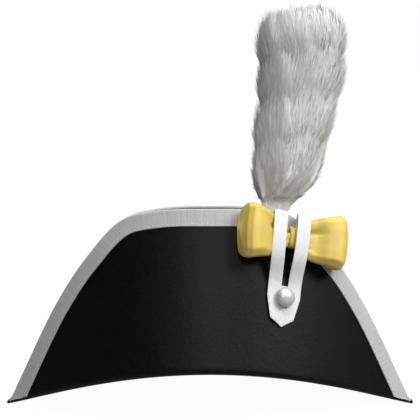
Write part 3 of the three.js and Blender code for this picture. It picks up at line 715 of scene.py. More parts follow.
# %% [markdown]
# The crown is a felt cap over the head opening. It hides between the flaps, but it shows from above and
# from below, so it gets the same felt and a smooth round top. Its foot follows the curved underside of the
# brim. Its inside is let down a little, so that the felt keeps its thickness over the sloping shoulder.

# %% Crown
CROWN_TOP = 160
CROWN_PROFILE = {
    "up": [0, 0.18, 0.38, 0.58, 0.78, 0.92, 1],
    "long": [1, 0.935, 0.87, 0.785, 0.635, 0.42, 0.15],
    "broad": [1, 0.985, 0.95, 0.88, 0.73, 0.5, 0.15],
}
CROWN_COLUMNS = 144
CROWN_ROWS = 46
SHOULDER_DROP = FELT / 2


def sole_height(x, y):
    """Height of the underside of the brim, which the head opening follows."""
    half_depth, _, radius = fold_at(FRONT, x, top_height(FRONT, x))
    flat = half_depth - radius
    front, back = FRONT.arch * boat(x), BACK.arch * boat(x)
    outer = radius + FELT / 2
    past = np.maximum(np.abs(y) - flat, 0)
    rise = np.where(past > 0, outer - np.sqrt(np.maximum(outer**2 - past**2, 0)), 0)
    return lerp(front, back, np.clip((y + flat) / (2 * flat), 0, 1)) + rise


def crown_surface(wall):
    """The crown's inner surface, moved out by a wall's thickness."""
    angle = np.linspace(0, 2 * math.pi, CROWN_COLUMNS, endpoint=False)
    x = (HEAD_BREADTH / 2 + wall) * np.cos(angle)
    y = (HEAD_LENGTH / 2 + wall) * np.sin(angle)
    foot = sole_height(x, y)
    top = CROWN_TOP - FELT + wall
    rings = []
    for up in np.sin(np.linspace(0, math.pi / 2, CROWN_ROWS)):
        broad = smooth_column(CROWN_PROFILE, "up", "broad", up)
        long = smooth_column(CROWN_PROFILE, "up", "long", up)
        rings.append(np.column_stack([x * broad, y * long, lerp(foot, top, up)]))
    return np.array(rings)


inside = crown_surface(0)
inside[1:, :, 2] -= SHOULDER_DROP
crown = lofted("felt_crown", np.vstack([inside[::-1], crown_surface(FELT)]))
flattened(crown)
dress(crown, felt, "crown")

# %% [markdown]
# Galloon is a flat ribbed braid. It is folded over the edge of the felt, wider outside than inside, and sewn
# down along both borders, which are a little thicker. The ribs that run across it could be painted on, but
# they catch the light along the edge, so they are real relief. The section below goes once round the band.

# %% The section of the galloon
GALLOON_FACE = 18
GALLOON_TURN = 12
GALLOON = 1.5
FACED = FELTED + GALLOON
BORDER = 0.9
BORDER_RISE = 0.3
BORDER_SPREAD = 0.45
CORNER = 0.5
OUTER_ROWS = (17.1, 16.7, 16.2, 15.6, 12, 8, 4, 1.5)
INNER_ROWS = (1.5, 5, 9.6, 10.2, 10.7, 11.1)
BACKING = 0.8


def galloon_section():
    """Distance in from the edge, distance off the felt and share of the ribs, round the band's section."""
    quarter = np.linspace(0, math.pi / 2, 4)
    turned_in, turned_up = CORNER * (1 - np.cos(quarter)), CORNER * (1 - np.sin(quarter))
    over = np.linspace(math.pi / 2, -math.pi / 2, 9)
    rows = [(GALLOON_FACE, FELTED, 0)]
    rows += [(GALLOON_FACE - a, FACED - b, 0) for a, b in zip(turned_in, turned_up)]
    rows += [(within, FACED, 1) for within in OUTER_ROWS]
    rows += [(-(CLEARANCE + GALLOON) * math.cos(a), FACED * math.sin(a), 1) for a in over]
    rows += [(within, -FACED, 1) for within in INNER_ROWS]
    rows += [(GALLOON_TURN - a, b - FACED, 0) for a, b in zip(turned_in[::-1], turned_up[::-1])]
    rows += [(GALLOON_TURN, -FELTED, 0), (0, -FELTED, 0), (-CLEARANCE, -FELTED * BACKING, 0)]
    rows += [(-CLEARANCE, FELTED * BACKING, 0), (0, FELTED, 0), (GALLOON_FACE / 2, FELTED, 0)]
    within, off, ribbed = np.array(rows).T
    for border in (GALLOON_FACE - BORDER, GALLOON_TURN - BORDER):
        facing = np.sign(off) == (1 if border > GALLOON_TURN else -1)
        swell = BORDER_RISE * np.exp(-(((within - border) / BORDER_SPREAD) ** 2)) * facing * (ribbed > 0)
        off = off + np.sign(off) * swell
    return within, off, ribbed


print("the galloon's section has", len(galloon_section()[0]), "points")

# %% [markdown]
# The section is swept along the edge, with four steps to each rib. At every step the band runs straight in
# from the edge, square to it, down the slope of the flap. Near the horns it would run past the fold, so each
# row stops where the fold begins: halving the distance again and again finds that place.

# %% The sweep of the galloon
RIB_PITCH = 1.6
RIB_STEPS = 4
RIB_DEPTH = 0.14
GALLOON_STOP = 0.9
GALLOON_START = 4.5
HALVINGS = 12
LEAST_HEIGHT = 0.0001


def galloon_grid(flap, distances, within, off):
    """Points and outward normals at distances along a flap's edge, in from it and off the felt."""
    edge = sample(outline, distances)
    ahead, behind = sample(outline, distances + 1), sample(outline, distances - 1)
    along_edge = (ahead - behind) / np.linalg.norm(ahead - behind, axis=1, keepdims=True)
    inward = np.stack([along_edge[:, 1], -along_edge[:, 0]], axis=1)
    x, z = edge[:, 0], top_height(flap, edge[:, 0])
    ahead_x, ahead_z = x + inward[:, 0] * SLOPE_STEP, z + inward[:, 1] * SLOPE_STEP
    fall = (wall_depth(flap, ahead_x, ahead_z) - wall_depth(flap, x, z)) / SLOPE_STEP
    slope = np.column_stack([inward[:, 0], flap.side * fall, inward[:, 1]])
    slope /= np.linalg.norm(slope, axis=1, keepdims=True)
    flat = np.hypot(slope[:, 0], slope[:, 2])
    near, far = np.zeros(len(x)), np.full(len(x), float(GALLOON_FACE + 1))
    for _ in range(HALVINGS):
        middle = (near + far) / 2
        at_x, at_z = x + inward[:, 0] * middle * flat, z + inward[:, 1] * middle * flat
        _, low, radius = fold_at(flap, at_x, top_height(flap, at_x))
        clear = at_z >= low + GALLOON_STOP * radius
        near, far = np.where(clear, middle, near), np.where(clear, far, middle)
    reach = np.minimum(np.maximum(within, 0), near[:, None]) * flat[:, None]
    over = np.minimum(within, 0)
    at_x, at_z = x[:, None] + inward[:, :1] * reach, z[:, None] + inward[:, 1:] * reach
    points, normals = wall_point(flap, at_x, at_z, off)
    return points + slope[:, None, :] * over[..., None], normals


def make_galloon(name, flap):
    count = int((outline_length - 2 * GALLOON_START) / RIB_PITCH) * RIB_STEPS + 1
    distances = np.linspace(GALLOON_START, outline_length - GALLOON_START, count)
    within, off, ribbed = galloon_section()
    ribs = RIB_DEPTH * 0.5 * (np.cos(2 * math.pi * distances / RIB_PITCH) - 1)
    offs = off[None, :] + np.sign(off)[None, :] * ribs[:, None] * ribbed[None, :]
    grid, _ = galloon_grid(flap, distances, np.broadcast_to(within, offs.shape), offs)
    piece = lofted(name, grid)
    flattened(piece, LEAST_HEIGHT)
    return piece


print("each galloon has", int((outline_length - 2 * GALLOON_START) / RIB_PITCH), "ribs")

# %% [markdown]
# The braid's threads run across the band, so its streaks are a noise that is stretched that way on the UV
# map. Lint and a slow change of tone make it cloth, and a little sheen softens its edges.

# %% Galloon
galloon = Finish("galloon")
u, v = galloon.uv()
band = galloon.node("ShaderNodeCombineXYZ", {}, {0: u, 1: v * 0.06, 2: 0.0})
streaks = galloon.noise(band, 420, 3.0, 0.6)
threads = galloon.noise(galloon.place(), 1300, 2.0, 0.5)
wear = galloon.noise(galloon.place(), 32, 3.0, 0.55)
pale = streaks * 0.5 + wear * 0.3 + threads * 0.2
galloon.set(
    base_color=galloon.mixed(pale.smooth(0.3, 0.7), (136, 135, 136), (152, 151, 151)),
    roughness=0.55 + threads * 0.2,
    sheen_weight=0.15,
    sheen_roughness=0.4,
)
galloon.bump(threads, 0.00025, 0.5)
dress(make_galloon("front_braid", FRONT), galloon, "front_galloon")
dress(make_galloon("back_braid", BACK), galloon, "back_galloon")

# %% [markdown]
# A piece that is sewn on or stands in the flap is drawn in its own small frame, with x across and y up.
# For the bow, the loop and the button z points out of the flap; for the plume y points into the hat and z
# up. This gives the axes that carry such a frame to its place on the front flap.

# %% Places on the front flap
COCKADE_ACROSS = 85.5
COCKADE_DROP = 32
COCKADE_UP = FLAP_HEIGHT - COCKADE_DROP


def frame_on_flap(across, up, off, tilt, facing):
    """Axes and origin of a small frame that stands on the flap, or just off it."""
    point, normal = wall_point(FRONT, across, up, off)
    level = np.cross([0, 0, 1], normal)
    level /= np.linalg.norm(level)
    rise = np.cross(normal, level)
    axes = [level, rise, normal] if facing == "out" else [level, -normal, rise]
    c, s = math.cos(tilt), math.sin(tilt)
    turn = np.array([[c, -s, 0], [s, c, 0], [0, 0, 1]])
    return np.array(axes).T @ turn, point


def placed(local, home):
    axes, point = home
    return np.asarray(local) @ axes.T + point


cockade_point = wall_point(FRONT, COCKADE_ACROSS, COCKADE_UP, FACED)[0]
print("the bow and the loop are sewn on at", np.round(at_rest(cockade_point), 3))

# %% [markdown]
# The bow is one padded ribbon tube, drawn in at its waist. Each loop is boxed: a flat front panel, a sewn
# edge all round and a narrower side. Near the knot the section is round. So there are two kinds of section,
# both with the same number of points, and every section of the bow is a mix of the two.

# %% Sections of the bow
BOW_LENGTH = 126
BOW_HEIGHT = 61
BOW_DEPTH = 27
BOW_SEAT = 2.9
BOW_PROFILE = {
    "along": [0, 0.075, 0.16, 0.27, 0.43, 0.58, 0.74, 0.88, 0.96, 1],
    "high": [0.31, 0.33, 0.55, 0.7, 0.8, 0.87, 0.94, 1, 0.97, 0.86],
    "deep": [0.38, 0.38, 0.43, 0.47, 0.56, 0.84, 1, 0.98, 0.8, 0.46],
}
BOX_CORNERS = [(0, 1), (0.4, 0.99), (0.78, 0.94), (0.985, 0.34), (1, -0.3), (0.9, -1), (0, -1)]
SOFT_CORNER = 4
BOW_ROUNDING = 0.85
DENSE = 401
BOW_COLUMNS = 120


def rounded_box(high, deep):
    """A box with softened corners: its corner line is sampled densely and then smoothed."""
    right = [(v * high, w * deep) for v, w in BOX_CORNERS]
    left = [(-y, z) for y, z in right[-2::-1]]
    dense = resampled(np.array(right + left, float), DENSE)[:-1]
    reach = SOFT_CORNER
    kernel = np.hanning(2 * reach + 3)[1:-1]
    kernel /= kernel.sum()
    padded = np.vstack([dense[-reach:], dense, dense[:reach]])
    soft = np.column_stack([np.convolve(column, kernel, "valid") for column in padded.T])
    return resampled(np.vstack([soft, soft[:1]]), BOW_COLUMNS + 1)[:-1]


def round_box(high, deep):
    """An ellipse that is a little squared."""
    angle = np.linspace(0, 2 * math.pi, DENSE)
    ring = np.column_stack([np.sin(angle), np.cos(angle)])
    shape = [high, deep] * np.sign(ring) * np.abs(ring) ** BOW_ROUNDING
    return resampled(shape, BOW_COLUMNS + 1)[:-1]


def bow_share(column, at):
    """Smooth near the knot and straight from row to row at the end, where the panel has a crease."""
    straight = np.interp(at, BOW_PROFILE["along"], BOW_PROFILE[column])
    return lerp(smooth_column(BOW_PROFILE, "along", column, at), straight, smoothstep(at, 0.84, 0.9))


print("the bow is", BOW_LENGTH, "mm long and", BOW_PROFILE["high"][0] * BOW_HEIGHT, "mm high at its waist")

# %% [markdown]
# The cloth is pinched at the knot into folds that run out over the loops and fade. A cloth simulation could
# find such folds, but not these ones, so each fold is pressed in by a formula: where it starts, how far it
# drifts, how far it reaches and how deep it is. A fold is sharp on its lower side and soft on its upper one.

# %% Folds of the bow
BOW_ROWS = 150
CAP_ROWS = 12
CROWDING = 1.15
END_BULGE = 3.2
END_SWELL = 2.4
BOW_FOLDS = {
    "start": [4.6, -4.0, 9.0, -8.0],
    "drift": [3.6, -6.0, 12.0, -13.0],
    "reach": [0.62, 0.42, 0.46, 0.5],
    "depth": [5.4, 1.0, 0.9, 0.9],
}


def bow_ring(place, at, grow=0.0):
    """The section at a place from -1 to 1, grown by the thickness of what is wrapped round it."""
    high = bow_share("high", at) * BOW_HEIGHT / 2 + grow
    deep = bow_share("deep", at) * BOW_DEPTH / 2
    boxed = smoothstep(at, 0.08, 0.42)
    ring = lerp(round_box(high, deep + grow), rounded_box(high, deep + grow), boxed)
    y, z = ring[:, 0], ring[:, 1]
    facing = smoothstep(z / (deep + grow), 0.0, 0.6)
    sink = np.zeros(len(y))
    for start, drift, reach, depth in zip(*BOW_FOLDS.values()):
        fold = start + drift * at
        width = np.where(y > fold, 2.5 + 7 * at, 0.8 + 2 * at)
        fade = 1 - smoothstep(at, 0.5 * reach, reach)
        sink += depth * fade * np.exp(-(((y - fold) / width) ** 2))
    if grow == 0:
        z = z - sink * facing
    bulge = END_BULGE * (y / high) ** 2 * smoothstep(at, 0.6, 1)
    x = place * BOW_LENGTH / 2 - math.copysign(1, place) * bulge
    return np.column_stack([x, y, BOW_SEAT + deep + z])


def bow_grid():
    half = np.sin(np.linspace(0, math.pi / 2, BOW_ROWS // 2)) ** CROWDING
    places = np.concatenate([-half[::-1], half[1:]])
    rings = [bow_ring(place, abs(place)) for place in places]
    caps = []
    for end in (rings[0], rings[-1]):
        middle = end.mean(axis=0)
        outward = math.copysign(1, middle[0])
        cap = []
        for share in np.linspace(1, 0, CAP_ROWS)[1:-1]:
            swell = [outward * END_SWELL * (1 - share * share), 0, 0]
            cap.append(middle + (end - middle) * [1, share, share] + swell)
        caps.append(cap)
    return np.array(caps[0][::-1] + rings + caps[1])


print("rings along the bow:", len(bow_grid()))

# %% [markdown]
# Satin is woven so that most threads float on top in one direction. Two waves on the UV map stand for warp
# and weft, a fine noise for the broken threads between them, and a slow one for the drift of its yellow.

# %% Bow
BOW_TILT = math.radians(-9.5)
WEAVE = 9000
satin = Finish("bow_satin")
u, v = satin.uv()
warp, weft = (u * WEAVE).sine(), (v * WEAVE).sine()
fuzz = satin.noise(satin.place(), 1500, 2.0, 0.6)
drift = satin.noise(satin.place(), 40, 3.0, 0.55)
satin.set(
    base_color=satin.mixed(drift.smooth(0.3, 0.7), (172, 149, 62), (184, 160, 74)),
    roughness=0.46 + fuzz * 0.12,
    sheen_weight=0.08,
    sheen_roughness=0.35,
    sheen_tint=colour((255, 230, 130)),
)
satin.bump(warp * weft * 0.3 + fuzz * 0.7, 0.00012, 0.7)
BOW_HOME = frame_on_flap(COCKADE_ACROSS, COCKADE_UP, FACED, BOW_TILT, "out")
bow = lofted("padded_bow", placed(bow_grid(), BOW_HOME))
dress(bow, satin, "bow")

# %% [markdown]
# The knot is a narrow band of the same satin wrapped round the waist. Three soft ridges run round it where
# the ribbon is gathered. It takes its form from the bow's own sections, grown by the band's thickness.

# %% Knot
KNOT_WIDTH = 9
KNOT_WRAP = 2
KNOT_ROWS = 28
KNOT_RIDGE = 0.35
KNOT_ROUNDING = 0.55


def knot_grid():
    edge = KNOT_WIDTH / BOW_LENGTH
    gap = 1.5 * CLEARANCE
    across = np.linspace(-1, 1, KNOT_ROWS)
    ridges = KNOT_RIDGE * (np.cos(across * 3 * math.pi) - 1)
    thick = KNOT_WRAP * (1 - KNOT_ROUNDING * np.abs(across) ** 5) + ridges
    outer = [bow_ring(a * edge, edge, gap + t) for a, t in zip(across, thick)]
    inner = [bow_ring(a * edge, edge, gap) for a in across[::-1]]
    return np.array(outer + inner + outer[:1])


knot = lofted("satin_knot", placed(knot_grid(), BOW_HOME), ends=False)
dress(knot, satin, "bow_knot")

# %% [markdown]
# The white loop is one band. Below the button its two legs are one piece with a pointed end. Above it they
# part, climb over the bow and turn down behind it. The band's route is a smooth curve seen from the side,
# whose points are shares of the bow's depth and of the loop's own lengths.

# %% The route of the loop
LOOP_DROP = 98.5
LOOP_RISE = 28.5
LOOP_SKEW = 0.3
LOOP_PROFILE = {
    "up": [-1, -0.55, -0.44, -0.25, -0.1, 0.25, 0.62, 0.9, 0.96, 0.8, 0.45],
    "out": [0.02, 0.02, 0.15, 0.56, 0.7, 0.75, 0.72, 0.53, 0.28, 0.11, 0.09],
}


def route_point(up, out):
    aside = (LOOP_PROFILE["out"][0] - out) * BOW_DEPTH * LOOP_SKEW
    return aside, up * (LOOP_DROP if up < 0 else LOOP_RISE), out * BOW_DEPTH + CLEARANCE


loop_route = curve_through([route_point(up, out) for up, out in zip(*LOOP_PROFILE.values())])
print("the band is", round(along(loop_route)[-1]), "mm long")

# %% [markdown]
# Three strips of a grid follow that route: two legs, and the piece between them that joins them below the
# button. The strips are a little fuller in the middle than at their edges. Solidify then gives them their
# thickness and a bevel softens the cut edges.

# %% The band of the loop
LOOP_LEG = 15.6
LOOP_BAND = 2
LOOP_SLIT = 8
LOOP_SPREAD = 12.5
LOOP_PART = 0.56
LOOP_POINT = 8.5
LOOP_TAPER = 0.7
LOOP_TIP = 0.004
LOOP_JOIN = 2
LOOP_PILLOW = 0.5
BUTTON_DIAMETER = 21.5
BUTTON_DROP = 66
LOOP_ROWS = 200
LEG_COLUMNS = 12
GAP_COLUMNS = 5
LOOP_TILT = math.radians(-11.5)
LOOP_HOME = frame_on_flap(COCKADE_ACROSS, COCKADE_UP, FACED, LOOP_TILT, "out")
SLIT_END = -BUTTON_DROP + BUTTON_DIAMETER / 2 + LOOP_JOIN


def loop_strips():
    route = resampled(loop_route, LOOP_ROWS)
    tangent = np.gradient(route, axis=0)
    outward = np.column_stack([np.zeros(LOOP_ROWS), -tangent[:, 2], tangent[:, 1]])
    outward /= np.linalg.norm(outward, axis=1, keepdims=True)
    share = np.linspace(0, 1, LOOP_ROWS)
    parted = np.where(share > 0.7, 1, smoothstep(route[:, 1], -LOOP_PART * LOOP_DROP, 0))
    slit = lerp(LOOP_SLIT, LOOP_SPREAD, parted) / 2
    tip = [-LOOP_DROP, -LOOP_DROP + LOOP_POINT, -BUTTON_DROP]
    taper = np.interp(route[:, 1], tip, [LOOP_TIP, LOOP_TAPER, 1])
    taper = np.where(share > 0.5, 1, taper)
    strips = {}
    for name, low, high, count in (
        ("left", -(slit + LOOP_LEG) * taper, -slit * taper, LEG_COLUMNS),
        ("gap", -slit * taper, slit * taper, GAP_COLUMNS),
        ("right", slit * taper, (slit + LOOP_LEG) * taper, LEG_COLUMNS),
    ):
        t = np.linspace(0, 1, count)
        x = low[:, None] + (high - low)[:, None] * t
        strip = route[:, None, :] + np.stack([x, np.zeros_like(x), np.zeros_like(x)], axis=-1)
        pillow = LOOP_PILLOW * (1 - np.abs(2 * t - 1) ** 3) * (share > 0.02)[:, None] * (name != "gap")
        strips[name] = strip + outward[:, None, :] * pillow[..., None]
    joined = (route[:, 1] <= SLIT_END) & (share < 0.5)
    strips["gap"] = strips["gap"][joined]
    return strips


def make_loop():
    points, faces, corner_uv = [], [], []
    for strip in loop_strips().values():
        quads, _ = grid_faces(*strip.shape[:2], False)
        faces.append(quads + sum(map(len, points)))
        corner_uv.append(grid_uv(strip, False).reshape(-1, 2))
        points.append(strip.reshape(-1, 3))
    places = at_rest(placed(np.vstack(points), LOOP_HOME))
    piece = new_piece("white_loop", places, np.vstack(faces), np.vstack(corner_uv))
    tidy(piece, 2e-5, outwards=False)
    thickness = piece.modifiers.new("thickness", "SOLIDIFY")
    thickness.thickness = LOOP_BAND * MM
    thickness.offset = 1
    rounding = piece.modifiers.new("rounding", "BEVEL")
    rounding.width = 0.0006
    rounding.segments = 3
    rounding.limit_method = "ANGLE"
    rounding.angle_limit = math.radians(50)
    finish_modifiers(piece)
    tidy(piece)
    return piece


print("the slit ends", -SLIT_END, "mm below the middle of the bow")

# %% [markdown]
# The band is a close white braid. Fine cords run across it, each broken by the threads that bind it, and
# lint gives the white a slight change of tone.

# %% Loop
CORDS, BINDING = 5000, 9000
braid = Finish("loop_braid")
u, v = braid.uv()
cords = (u * CORDS).sine() * 0.7 + (v * BINDING).sine() * (u * (CORDS / 2)).sine() * 0.3
lint = braid.noise(braid.place(), 900, 3.0, 0.6)
braid.set(
    base_color=braid.mixed(lint.smooth(0.3, 0.7), (183, 183, 184), (190, 190, 190)),
    roughness=0.42 + lint * 0.15,
    sheen_weight=0.12,
    sheen_roughness=0.4,
)
braid.bump(cords * 0.7 + lint * 0.3, 0.00022, 0.8)
loop = make_loop()
dress(loop, braid, "cockade_loop")

# %% [markdown]
# The button is a turned dome of polished white metal with a thin rolled rim. A profile spun about its axis
# makes it. Its finish is a pale metal under a clear coat, which gives the soft highlight of a pearl.

# %% Button
BUTTON_HEIGHT = 9.5
BUTTON_RIM = 1.5
BUTTON_BACK = 18
BUTTON_SIDES = 72
DOME_ROWS = 28
AXIS = 0.01


def button_profile():
    """Radius and height from the middle of the back, round the rim, to the top of the dome."""
    angle = np.linspace(0, math.pi / 2, DOME_ROWS)
    radius = np.maximum(np.cos(angle) ** 0.8 * BUTTON_DIAMETER / 2, AXIS)
    dome = np.column_stack([radius, lerp(BUTTON_RIM, BUTTON_HEIGHT, np.sin(angle))])
    back = BUTTON_BACK / 2
    rim = [(AXIS, 0), (0.6 * back, 0), (back, 0), (back + 0.7, 0.25)]
    return np.vstack([rim, dome])


def turned(profile, sides):
    """Rings of points for a profile that is spun about its axis."""
    angle = np.linspace(0, 2 * math.pi, sides, endpoint=False)
    ring = np.column_stack([np.cos(angle), np.sin(angle), np.zeros(sides)])
    return np.array([ring * [r, r, 0] + [0, 0, height] for r, height in profile])


silver = Finish("button_metal")
swirl = silver.noise(silver.place(), 120, 3.0, 0.6)
silver.set(
    base_color=silver.mixed(swirl.smooth(0.3, 0.7), (154, 154, 156), (171, 171, 172)),
    metallic=0.2,
    roughness=0.3 + swirl * 0.1,
    coat_weight=1.0,
    coat_roughness=0.28,
)
button_middle = [0, -BUTTON_DROP, LOOP_PROFILE["out"][1] * BOW_DEPTH + LOOP_BAND + 3 * CLEARANCE]
button_rings = turned(button_profile(), BUTTON_SIDES) + button_middle
button = lofted("domed_button", placed(button_rings, LOOP_HOME))
dress(button, silver, "button")

# %% [markdown]
# The plume is a bundle of soft feathers. Its inner form is a core with rows of locks, the same as in the
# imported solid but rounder. The core is a stack of ellipses, which sways to one side and nods forwards, and
# each lock is a short stack that lies on it.

# %% The plume's core and locks
PLUME_HEIGHT = 243
PLUME_WIDTH = 97
PLUME_DEPTH = 78
PLUME_PROFILE = {
    "up": [0, 0.07, 0.145, 0.19, 0.25, 0.38, 0.5, 0.62, 0.77, 0.91, 0.966, 1],
    "sway": [0, 0, 0.04, 0.1, 0.165, 0.225, 0.295, 0.365, 0.42, 0.425, 0.425, 0.42],
    "nod": [0, 0, 0, 0, 0.01, 0.05, 0.1, 0.16, 0.25, 0.34, 0.38, 0.4],
    "wide": [0.06, 0.13, 0.2, 0.25, 0.3, 0.355, 0.38, 0.405, 0.45, 0.45, 0.43, 0.34],
    "deep": [0.05, 0.05, 0.055, 0.17, 0.28, 0.37, 0.41, 0.43, 0.45, 0.44, 0.38, 0.28],
}
PLUME_LOCKS = {
    "up": [0.18, 0.36, 0.56, 0.76],
    "long": [0.24, 0.26, 0.26, 0.24],
    "count": [5, 6, 7, 7],
}
LOCK_PROFILE = {"along": [0, 0.33, 0.67, 1], "broad": [0.75, 1, 0.8, 0.25], "thick": [0.6, 1, 0.8, 0.3]}
LOCK_OVERLAP = 1.35
LOCK_THICKNESS = 0.3
LOCK_LIFT = (0.8, 1.02)
PLUME_CORE = 0.93
PLUME_INSET = 0.97  # leaves room for the barbs that grow on the skin
CORE_ROWS, CORE_SIDES = 70, 48
LOCK_ROWS, LOCK_SIDES = 16, 20


def plume_row(up):
    """Middle, half width and half depth of the plume at heights given as shares."""
    sway, nod, wide, deep = (
        smooth_column(PLUME_PROFILE, "up", name, up) for name in ("sway", "nod", "wide", "deep")
    )
    middle = np.stack([sway * PLUME_WIDTH, -nod * PLUME_DEPTH, np.asarray(up) * PLUME_HEIGHT], axis=-1)
    return middle, wide * PLUME_WIDTH * PLUME_INSET, deep * PLUME_DEPTH * PLUME_INSET


def ellipse(middle, first, second, breadth, thickness, sides):
    angle = np.linspace(0, 2 * math.pi, sides, endpoint=False)[:, None]
    return middle + breadth * np.cos(angle) * first + thickness * np.sin(angle) * second


def core_rings():
    across, back, _ = np.eye(3)
    for up in np.linspace(0, 1, CORE_ROWS):
        middle, wide, deep = plume_row(up)
        yield ellipse(middle, across, back, PLUME_CORE * wide, PLUME_CORE * deep, CORE_SIDES)


def lock_rings(up, long, count, turn):
    outward = np.array([math.cos(turn), math.sin(turn), 0])
    tangent = np.array([-math.sin(turn), math.cos(turn), 0])
    for share in np.linspace(0, 1, LOCK_ROWS):
        middle, wide, deep = plume_row(up + long * share)
        middle = middle + outward * [wide, deep, 0] * lerp(*LOCK_LIFT, share)
        broad = smooth_column(LOCK_PROFILE, "along", "broad", share)
        thick = smooth_column(LOCK_PROFILE, "along", "thick", share)
        breadth = LOCK_OVERLAP * math.pi / count * wide * broad
        yield ellipse(middle, tangent, outward, breadth, deep * LOCK_THICKNESS * thick, LOCK_SIDES)


def plume_bodies():
    yield np.array(list(core_rings()))
    for level, (up, long, count) in enumerate(zip(*PLUME_LOCKS.values())):
        for k in range(count):
            turn = 2 * math.pi * (k + 0.5 * (level % 2)) / count
            yield np.array(list(lock_rings(up, long, count, turn)))


print("core and locks:", len(list(plume_bodies())), "bodies")

# %% [markdown]
# Remesh joins the core and its locks into one skin, as if it were poured over them, and Smooth takes off the
# steps that its small cubes leave. It works in the plume's own frame, whose up is the plume's up.

# %% The plume's skin
PLUME_VOXEL = 1.9
SKIN_SMOOTHING = 14


def plume_skin():
    points, faces, start = [], [], 0
    for grid in plume_bodies():
        rows, columns = grid.shape[:2]
        quads, _ = grid_faces(rows, columns, True)
        ring = start + np.arange(columns)
        ends = [tuple(ring), tuple(ring[::-1] + (rows - 1) * columns)]
        faces += [tuple(quad + start) for quad in quads] + ends
        points.append(grid.reshape(-1, 3))
        start += rows * columns
    skin = new_piece("plume_skin", np.vstack(points), faces)
    remesh = skin.modifiers.new("one skin", "REMESH")
    remesh.mode = "VOXEL"
    remesh.voxel_size = PLUME_VOXEL
    soften = skin.modifiers.new("soften", "SMOOTH")
    soften.iterations = SKIN_SMOOTHING
    return finish_modifiers(skin)


skin = plume_skin()
local = np.array([vertex.co for vertex in skin.data.vertices])
print("plume skin:", len(skin.data.polygons), "faces")

# %% [markdown]
# Each point of the skin gets a direction in which the feathers lie there: up along the plume, leaning a
# little outwards, with slow swirls so that neighbouring barbs gather into tufts. Near the top they close
# in, and on the very top they are combed forwards over it, because the plume nods that way. The direction
# is kept on the skin as an attribute, and so is the reach of the barbs, which are short near the foot.

# %% The flow of the feathers
PLUME_ACROSS = 75
PLUME_FOOT_DROP = 30
STEM_STAND = FACED + CLEARANCE + PLUME_PROFILE["deep"][0] * PLUME_DEPTH
PLUME_HOME = frame_on_flap(PLUME_ACROSS, FLAP_HEIGHT - PLUME_FOOT_DROP, -STEM_STAND, 0, "in")
FLOW_FLARE = 0.12
TOP_FLARE = -0.3
SWIRL = 0.16
LEAST_LIFT = 0.1
CAP_COMB = (0.25, -1.1, 0)
CAP_LAID = 0.75
CAP_REACH = 0.8
WAVES = 6
WAVE_SIZES = (0.09, 0.09, 0.035)


def swirls(points, seed):
    """A slow random change over the plume, made of a few waves with a fixed seed."""
    chance = np.random.default_rng(seed)
    field = np.zeros(len(points))
    for _ in range(WAVES):
        wave = chance.normal(size=3) * WAVE_SIZES
        field += np.sin(points @ wave + chance.uniform(0, 6.28))
    return 2 * field / WAVES


up = np.clip(local[:, 2] / PLUME_HEIGHT, 0, 1)
middle, wide, deep = plume_row(up)
ahead, _, _ = plume_row(np.clip(up + 0.02, 0, 1.02))
behind, _, _ = plume_row(np.clip(up - 0.02, 0, 1))
spine = ahead - behind
spine /= np.linalg.norm(spine, axis=1, keepdims=True)
radial = (local - middle) / np.column_stack([wide, deep, np.full(len(up), PLUME_HEIGHT)])
radial[:, 2] = 0
flare = lerp(FLOW_FLARE, TOP_FLARE, smoothstep(up, 0.72, 0.95))
flow = spine + flare[:, None] * radial
flow[:, 0] += SWIRL * swirls(local, 3)
flow[:, 1] += SWIRL * swirls(local, 4)
skin_normals = np.array([normal.vector for normal in skin.data.vertex_normals])
rising = (flow * skin_normals).sum(axis=1, keepdims=True)
capped = smoothstep(rising, 0.5, 0.9) * smoothstep(up, 0.85, 0.95)[:, None]
flow += capped * (np.array(CAP_COMB) - CAP_LAID * rising * skin_normals)
rising = (flow * skin_normals).sum(axis=1, keepdims=True)
flow += np.maximum(0, LEAST_LIFT - rising) * skin_normals
flow = leant(flow @ PLUME_HOME[0].T)
print("steepest lift off the skin:", round(float(rising.max()), 2))

# %% Flow and reach on the skin
skin.data.vertices.foreach_set("co", at_rest(placed(local, PLUME_HOME)).astype(np.float32).ravel())
attribute = skin.data.attributes.new("flow", "FLOAT_VECTOR", "POINT")
attribute.data.foreach_set("vector", flow.astype(np.float32).ravel())
reach = np.clip((1 - up) * PLUME_HEIGHT / 20 + 0.3, 0.3, 1) * smoothstep(up, 0.0, 0.1)
reach = reach * lerp(0.4, 1, smoothstep(up, 0.12, 0.42))
reach = lerp(reach, CAP_REACH, capped[:, 0])
attribute = skin.data.attributes.new("reach", "FLOAT", "POINT")
attribute.data.foreach_set("value", reach.astype(np.float32))
skin.data.shade_smooth()
print("the barbs reach", round(float(reach.min()), 2), "to", round(float(reach.max()), 2), "of their length")

# %% [markdown]
# Geometry Nodes trees are built the same way as materials: one method adds a node, and arithmetic on its
# outputs adds Math nodes. A recipe is one tree with named inputs for its sizes. Its result is made real, so
# that what it repeats becomes plain mesh, and the object is then no different from one built by hand.

# %% A small language for Geometry Nodes


